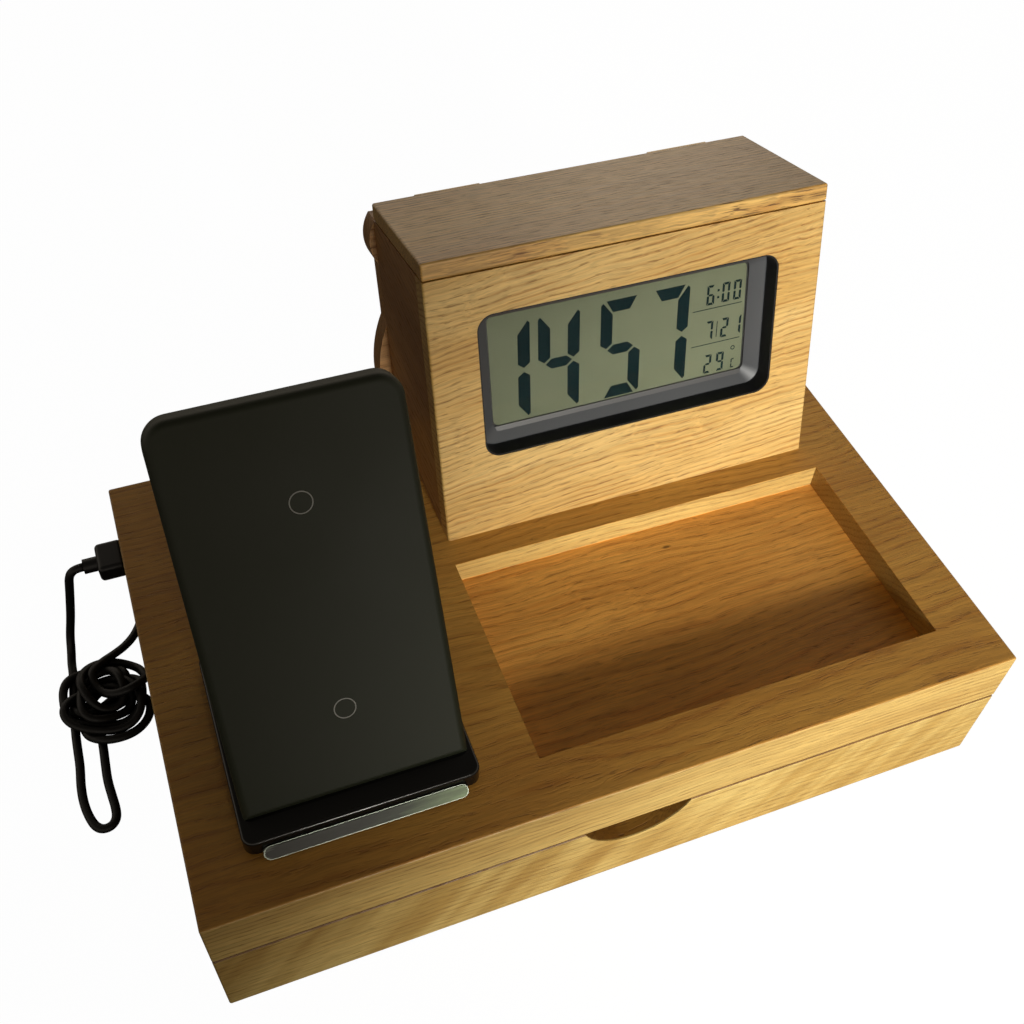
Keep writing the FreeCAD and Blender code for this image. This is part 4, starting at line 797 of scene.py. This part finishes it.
# %% [markdown]
# ## Felt and metal parts
#
# The felt under the box and in the drawer takes all shine away. The hinges are brass that has
# darkened with age, the springs in the battery bay are bright steel, and the coils are copper
# wire under a clear enamel, with marks that run along the wire.

# %% Felt, brass, steel and copper
paint(["base_felt", "drawer_lining"], make_felt("wool_felt", "#2E2A26", "#4A443D"))
paint(["lid_leaf_left", "lid_leaf_right", "back_leaf_left", "back_leaf_right", "hinge_pins",
       "lid_hinge_screws", "back_hinge_screws"], make_metal("aged_brass", "#8A7448", 0.38))
paint(["battery_contacts"], make_metal("spring_steel", "#B9BABC", 0.3))
paint(["charging_coils"], make_metal("enamelled_copper", "#B4673A", 0.35, (1.1, 16.7, 1.1)))

# %% [markdown]
# ## Plastic parts
#
# The stand's head has a soft rubbery paint that hardly shines, while its foot is polished. The
# clock's case is plain moulded ABS, its frame is painted with a little metal flake, and the cord
# and plugs are soft PVC, which is dull and almost black. A solder mask makes the circuit boards
# green, the cells have a shiny shrunk sleeve, and ferrite is pressed powder, dark and dull.

# %% Moulded and painted plastic
paint(["clock_bezel"], make_plastic("painted_bezel", "#4B4C4E", 0.36, Metallic=0.35))
paint(["clock_rear_case", "battery_door", "clock_button_mode", "clock_button_set",
       "clock_button_up", "clock_button_down"], make_plastic("black_abs", "#1B1B1C", 0.5))
paint(["clock_board", "charger_board"], make_plastic("circuit_board", "#1F4A2C", 0.4))
paint(["clock_cells"], make_plastic("cell_sleeve", "#3A3F45", 0.3))
paint(["charger_cover", "charger_shell"],
      make_plastic("soft_touch_black", "#191D10", 0.55, Specular_IOR_Level=0.26))
paint(["charger_foot"],
      make_plastic("gloss_black", "#0C0C0B", 0.16, depth=0.00001, Specular_IOR_Level=0.3))
paint(["ferrite_sheet"], make_plastic("ferrite_sheet_grey", "#2B2A29", 0.7))
paint(["charger_feet"], make_plastic("foot_rubber", "#151515", 0.8))
paint(["side_socket"], make_plastic("socket_plastic", "#18181A", 0.4))
paint(["inner_lead", "side_plug", "far_plug"],
      make_plastic("plug_plastic", "#0A0A0B", 0.45, Specular_IOR_Level=0.3))
paint(["lcd_panel"], make_plastic("display_glass", "#7C7E63", 0.5))
cord.data.materials.append(make_plastic("cord_sleeve", "#080808", 0.5, Specular_IOR_Level=0.25))
print("the cord has its sleeve")

# %% [markdown]
# ## The clock's window
#
# The window is a thin sheet of acrylic with a glare-free surface, so its two faces send back
# very little. Light from a lamp passes such a sheet almost unchanged, but a renderer would give
# it a dark shadow, so a shadow ray sees a nearly clear shader in its place.


# %% Clear acrylic
def make_acrylic():
    material, shader = new_finish("clear_acrylic", Roughness=0.03, IOR=1.2,
                                  Transmission_Weight=1.0, Specular_IOR_Level=0.2)
    here = add(material, "TexCoord")["Object"]
    smear_and_reflection = add(material, "TexNoise", Vector=here, Scale=1000 / 17, Detail=3.0)[0]
    tint = add(material, "ValToRGB", Fac=smear_and_reflection, stops=[(0.2, "#F8FAF8"), (0.8, "#FFFFFF")])[0]
    feed(material, shader, Base_Color=tint)
    lamp_ray = add(material, "LightPath")["Is Shadow Ray"]
    through = add(material, "BsdfTransparent", Color=linear("#F4F6F2"))[0]
    mixed = add(material, "MixShader", _0=lamp_ray, _1=shader.outputs[0], _2=through)[0]
    feed(material, material.node_tree.nodes["Material Output"], Surface=mixed)
    return material


paint(["clock_glass"], make_acrylic())

# %% [markdown]
# ## The display
#
# A liquid-crystal display shows each number with up to seven dark bars on a grey-green film. The
# bars lean two degrees to the right and are cut at a slant where they meet. Every bar is a thin
# plate made from its outline, so one function draws a bar and another picks the bars of a number.
# The housing leans back, and one matrix carries all of it onto the leaning face.

# %% The leaning face of the clock
LEAN = math.radians(14.3)
CLOCK_FACE = Matrix.Translation((-0.030, 0.0253, 0.0655)) @ Matrix.Rotation(-LEAN, 4, "X")
MM = 0.001
# a full-size number, in millimetres
BAR_THICK = 4.9
HALF_WIDE = 5.97
HALF_HIGH = 18.2
INK_THICK = 0.03
SLANT = 0.032  # how far it leans to the right for each step up
BARS = {"0": "abcdef", "1": "bc", "2": "abdeg", "4": "bcfg", "5": "acdfg", "6": "acdefg",
        "7": "abc", "9": "abcdfg", "C": "adef"}
print("numbers that can be shown:", " ".join(BARS))


def bar_outline(bar):
    """The corners of one bar, in millimetres from the middle of a full-size number."""
    h, gap = BAR_THICK / 2, 0.55
    if bar == "g":
        w, up = HALF_WIDE - gap, h * 0.86
        return [(-w, 0), (-w + h, up), (w - h, up), (w, 0), (w - h, -up), (-w + h, -up)]
    if bar in "ad":
        w, up = HALF_WIDE, 1 if bar == "a" else -1
        shape = [(-w - 0.3, h), (w + 0.3, h), (w - 2.5, -h), (-w + 2.5, -h)]
        return [(x, up * (HALF_HIGH + y)) for x, y in shape]
    side = 1 if bar in "bc" else -1
    up = 1 if bar in "bf" else -1
    shape = [(h, HALF_HIGH + 0.9), (h - 0.9, HALF_HIGH + 1.8), (-h, HALF_HIGH - 3.4),
             (-h, 2.7), (0, gap + 0.3), (h, 2.7)]
    return [(side * (HALF_WIDE + x), up * y) for x, y in shape]


def thicken(bm, faces, way):
    """Give flat faces a thickness: a copy of them moves this way, and sides join the two."""
    raised = bmesh.ops.extrude_face_region(bm, geom=faces)
    copies = [v for v in raised["geom"] if isinstance(v, bmesh.types.BMVert)]
    bmesh.ops.translate(bm, verts=copies, vec=way)
    return copies


def add_plate(bm, outline, middle, size, front):
    """One thin plate with this outline, on the leaning face."""
    ring = []
    for x, z in outline:
        x, z = x * size, z * size
        across, up = middle[0] + x + SLANT * z, middle[1] + z
        ring.append(bm.verts.new((MM * across, MM * front, MM * up)))
    thicken(bm, [bm.faces.new(ring)], (0, MM * INK_THICK, 0))


def finish_piece(name, bm, place, material, body="case"):
    """Turn the faces outwards, put the piece in its place and name its body and slot."""
    bmesh.ops.remove_doubles(bm, verts=bm.verts, dist=1e-7)
    bmesh.ops.recalc_face_normals(bm, faces=bm.faces)
    bmesh.ops.transform(bm, matrix=place, verts=bm.verts)
    mesh = bpy.data.meshes.new(name)
    bm.to_mesh(mesh)
    bm.free()
    mesh.materials.append(material)
    piece = bpy.data.objects.new(name, mesh)
    bpy.context.scene.collection.objects.link(piece)
    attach(piece, body)
    return piece


# %% [markdown]
# ## The film behind the glass
#
# The film is matt and grey-green, and the numbers are crystals in it that turn dark. Neither
# catches a highlight, because the window in front of them does that.

# %% Film and ink
film_finish = make_plastic("display_film", "#5E6250", 0.6, depth=0.00001, Specular_IOR_Level=0.0)
ink_finish = make_plastic("display_ink", "#0F1C1E", 0.6, depth=0.00001, Specular_IOR_Level=0.0)
FILM_FRONT = 11.0  # millimetres behind the oak's face


def make_film():
    low, high = Vector((22.2, FILM_FRONT, 37.6)), Vector((134.8, 11.98, 88.4))
    bm = bmesh.new()
    bmesh.ops.create_cube(bm, size=1)
    bmesh.ops.scale(bm, vec=(high - low) * MM, verts=bm.verts)
    bmesh.ops.translate(bm, vec=(high + low) / 2 * MM, verts=bm.verts)
    return finish_piece("display_film", bm, CLOCK_FACE, film_finish)


film = make_film()
print("film is", [round(1000 * s, 1) for s in film.dimensions], "mm")

# %% [markdown]
# ## The numbers
#
# The big numbers tell the time. The small ones on the right are an alarm, a date and the room's
# temperature, with thin lines between them. One list says where each number stands, and another
# says where the dots and lines are.

# %% The numbers
# what is shown, the middle of the number on the face in millimetres, and its size
SHOWN = [
    ("1", (32.8, 61.1), 1.0), ("4", (52.9, 61.1), 1.0),
    ("5", (78.3, 61.1), 1.0), ("7", (98.6, 61.1), 1.0),
    ("6", (116.6, 74.9), 0.2), ("0", (123.2, 74.9), 0.2), ("0", (128.2, 74.9), 0.2),
    ("7", (116.6, 59.7), 0.2), ("2", (123.4, 59.7), 0.2), ("1", (129.0, 59.7), 0.2),
    ("2", (116.6, 44.9), 0.2), ("9", (122.1, 44.9), 0.2), ("C", (128.0, 42.8), 0.1),
]
# thin lines and dots: middle and half sizes in millimetres
MARKS = [
    ((119.9, 76.3), (0.45, 0.45)), ((119.9, 73.4), (0.45, 0.45)), ((120.0, 59.7), (0.16, 3.4)),
    ((119.8, 69.2), (10.7, 0.16)), ((119.8, 53.9), (10.7, 0.16)),
]


def add_degree(bm, middle, radius, band):
    """The small ring of the degree sign."""
    middle = Vector((middle[0], FILM_FRONT - INK_THICK, middle[1])) * MM
    upright = Matrix.Translation(middle) @ Matrix.Rotation(math.radians(90), 4, "X")
    old = set(bm.verts)
    for size in (radius, radius - band):
        bmesh.ops.create_circle(bm, segments=20, radius=size * MM, matrix=upright)
    edges = [e for e in bm.edges if e.verts[0] not in old]
    faces = bmesh.ops.bridge_loops(bm, edges=edges)["faces"]
    thicken(bm, faces, (0, MM * INK_THICK, 0))


def make_numbers():
    bm = bmesh.new()
    for number, middle, size in SHOWN:
        for bar in BARS[number]:
            add_plate(bm, bar_outline(bar), middle, size, FILM_FRONT - INK_THICK)
    for middle, (w, h) in MARKS:
        corners = [(-w, -h), (w, -h), (w, h), (-w, h)]
        add_plate(bm, corners, middle, 1.0, FILM_FRONT - INK_THICK)
    add_degree(bm, (127.7, 49.8), 0.95, 0.35)
    return finish_piece("display_numbers", bm, CLOCK_FACE, ink_finish)


make_numbers()
print("bars and marks:", len(SHOWN), "numbers and", len(MARKS), "marks")

# %% [markdown]
# ## The frame round the display
#
# The clock's own frame has rounded corners and slopes in to the film, and its black casing lines
# the opening in the oak. All of these are bands between rounded rectangles, so one function draws
# a rounded rectangle as a ring of points and another bridges two or more rings into a band.

# %% Bands between rounded rectangles
WINDOW_MIDDLE = (78.5, 62.9)


def rounded_ring(bm, wide, high, radius, front, steps=10):
    """A closed ring of points round a rectangle, in millimetres on the leaning face."""
    ring = []
    for corner, (sx, sz) in enumerate(((1, 1), (-1, 1), (-1, -1), (1, -1))):
        for step in range(steps + 1):
            angle = math.radians(90 * corner + 90 * step / steps)
            x = WINDOW_MIDDLE[0] + sx * (wide / 2 - radius) + radius * math.cos(angle)
            z = WINDOW_MIDDLE[1] + sz * (high / 2 - radius) + radius * math.sin(angle)
            ring.append(bm.verts.new((x * MM, front * MM, z * MM)))
    return [bm.edges.new((ring[i - 1], ring[i])) for i in range(len(ring))]


def make_band(name, sections, material):
    """sections: (width, height, corner radius, distance behind the oak's face) of each ring."""
    bm = bmesh.new()
    for one, other in zip(sections, sections[1:] + sections[:1]):
        bmesh.ops.bridge_loops(bm, edges=rounded_ring(bm, *one) + rounded_ring(bm, *other))
    piece = finish_piece(name, bm, CLOCK_FACE, material)
    for face in piece.data.polygons:
        face.use_smooth = True
    crease = piece.modifiers.new("edges", "EDGE_SPLIT")
    crease.split_angle = math.radians(30)
    return piece


bezel_paint = make_plastic("bezel_paint", "#46494D", 0.46, Metallic=0.2)
casing_black = make_plastic("casing_black", "#0E0E0E", 0.45)
BORDER_FRONT = FILM_FRONT - 0.035
make_band("window_liner", [(120.7, 58.9, 6.45, 0.25), (119.6, 57.8, 5.9, 0.25),
                           (119.6, 57.8, 5.9, 7.98), (120.7, 58.9, 6.45, 7.98)],
          casing_black)
make_band("bezel_slope", [(119.5, 57.7, 5.85, 7.6), (118.6, 56.8, 5.4, 7.45),
                          (108.4, 48.2, 3.2, 10.0), (107.6, 47.4, 2.9, 10.25),
                          (107.6, 47.4, 2.9, 10.75), (119.5, 57.7, 5.85, 8.2)],
          bezel_paint)
make_band("display_border", [(109.0, 48.8, 3.4, BORDER_FRONT), (106.4, 46.2, 2.6, BORDER_FRONT),
                             (106.4, 46.2, 2.6, FILM_FRONT), (109.0, 48.8, 3.4, FILM_FRONT)],
          casing_black)
print("liner, slope and border are in")

# %% [markdown]
# ## The rings on the stand
#
# Two thin grey rings are printed on the stand to show where the phone's coil should lie. A ring
# is a narrow band, so it starts as a circle, gets an inner circle and is filled between them.

# %% Print the rings
STAND_MIDDLE = -0.092  # its place along the box
PAD_LEAN = math.radians(27.3)
PAD_FOOT = Matrix.Translation((STAND_MIDDLE, -0.0688, 0.0735))
PAD_FACE = PAD_FOOT @ Matrix.Rotation(-PAD_LEAN, 4, "X")
grey_print = make_plastic("grey_print", "#8C8C86", 0.5)


def make_ring(name, x, z, radius, band):
    bm = bmesh.new()
    for size in (radius, radius - band):
        bmesh.ops.create_circle(bm, segments=64, radius=size * MM)
    bmesh.ops.bridge_loops(bm, edges=list(bm.edges))
    thicken(bm, list(bm.faces), (0, 0, MM * INK_THICK))
    on_face = Matrix.Translation((x * MM, 0, z * MM)) @ Matrix.Rotation(math.radians(90), 4, "X")
    return finish_piece(name, bm, PAD_FACE @ on_face, grey_print)


make_ring("ring_upper", 1.4, 100.6, 3.6, 0.35)
make_ring("ring_lower", 1.0, 30.2, 3.6, 0.35)
print("two rings")

# %% [markdown]
# ## The strip on the stand's edge
#
# A slim glossy strip runs along the front of the stand. Its face is a long flat oval that tips
# up towards the user: a metal rim round a face of dark tinted acrylic. The oval is drawn once and
# extruded back to the stand, and a smaller one makes the tinted face.

# %% The glossy strip
STRIP_TOP, STRIP_FOOT = Vector((0, -0.0770, 0.0701)), Vector((0, -0.0798, 0.0661))


def oval(bm, half_long, radius, out, steps=12):
    """A flat oval on the strip's tipped face, with its middle on the stand's middle line."""
    up = (STRIP_TOP - STRIP_FOOT).normalized()
    outward = Vector((0, -up.z, up.y))
    middle = (STRIP_TOP + STRIP_FOOT) / 2 + Vector((STAND_MIDDLE, 0, 0)) + outward * out
    ring = []
    for side in (1, -1):
        for step in range(steps + 1):
            angle = math.radians(-90 + 180 * step / steps) + (0 if side > 0 else math.pi)
            along = side * (half_long - radius) + radius * math.cos(angle)
            spot = middle + Vector((along, 0, 0)) + up * radius * math.sin(angle)
            ring.append(bm.verts.new(spot))
    return ring


def make_strip(name, half_long, radius, out, material, back=None):
    """back: how far back the strip reaches, or else it is a thin plate."""
    bm = bmesh.new()
    face = bm.faces.new(oval(bm, half_long, radius, out))
    for v in thicken(bm, [face], (0, 0.0003, 0)):
        v.co.y = back or v.co.y
    return finish_piece(name, bm, Matrix.Identity(4), material)


def make_tinted_with_reflection():
    """Dark acrylic with a painted reflection: brighter at its ends, where the room would be
    reflected.
    """
    material, shader = new_finish("tinted_acrylic_painted_reflection", Roughness=0.16, IOR=1.49,
                                  Specular_IOR_Level=0.3)
    here = add(material, "TexCoord")["Object"]
    sized = add(material, "Mapping", Vector=here, Scale=stretched(22, 3.3, 2))[0]
    smear_and_reflection = add(material, "TexNoise", Vector=sized, Scale=1.0, Detail=3.0)[0]
    # painted reflection: the face is lighter towards its right end and at its far left, darker
    # between
    place = add(material, "SeparateXYZ", Vector=here)["X"]
    along = add(material, "MapRange", Value=place, From_Min=-0.126, From_Max=-0.058, To_Max=0.8)[0]
    along = add(material, "Math", {"operation": "MULTIPLY_ADD"}, _0=smear_and_reflection, _1=0.4, _2=along)[0]
    tint = add(material, "ValToRGB", Fac=along,
               stops=[(0.18, "#6A6F66"), (0.26, "#161914"), (0.55, "#20251F"),
                      (0.75, "#3A4237"), (0.92, "#77876B"), (1.0, "#8FA681")])[0]
    feed(material, shader, Base_Color=tint)
    return material


strip = make_strip("strip_rim", 0.0340, 0.0025, 0.0, make_metal("chrome", "#6C726A", 0.28), -0.0768)
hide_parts("charger_lip")
make_strip("strip_face", 0.03365, 0.00215, 0.00022, make_tinted_with_reflection())
print("strip and its face")

# %% [markdown]
# ## Finish
#
# The last line sets the scene's view transform to Standard.

# %% Finish
bpy.context.scene.view_settings.view_transform = "Standard"
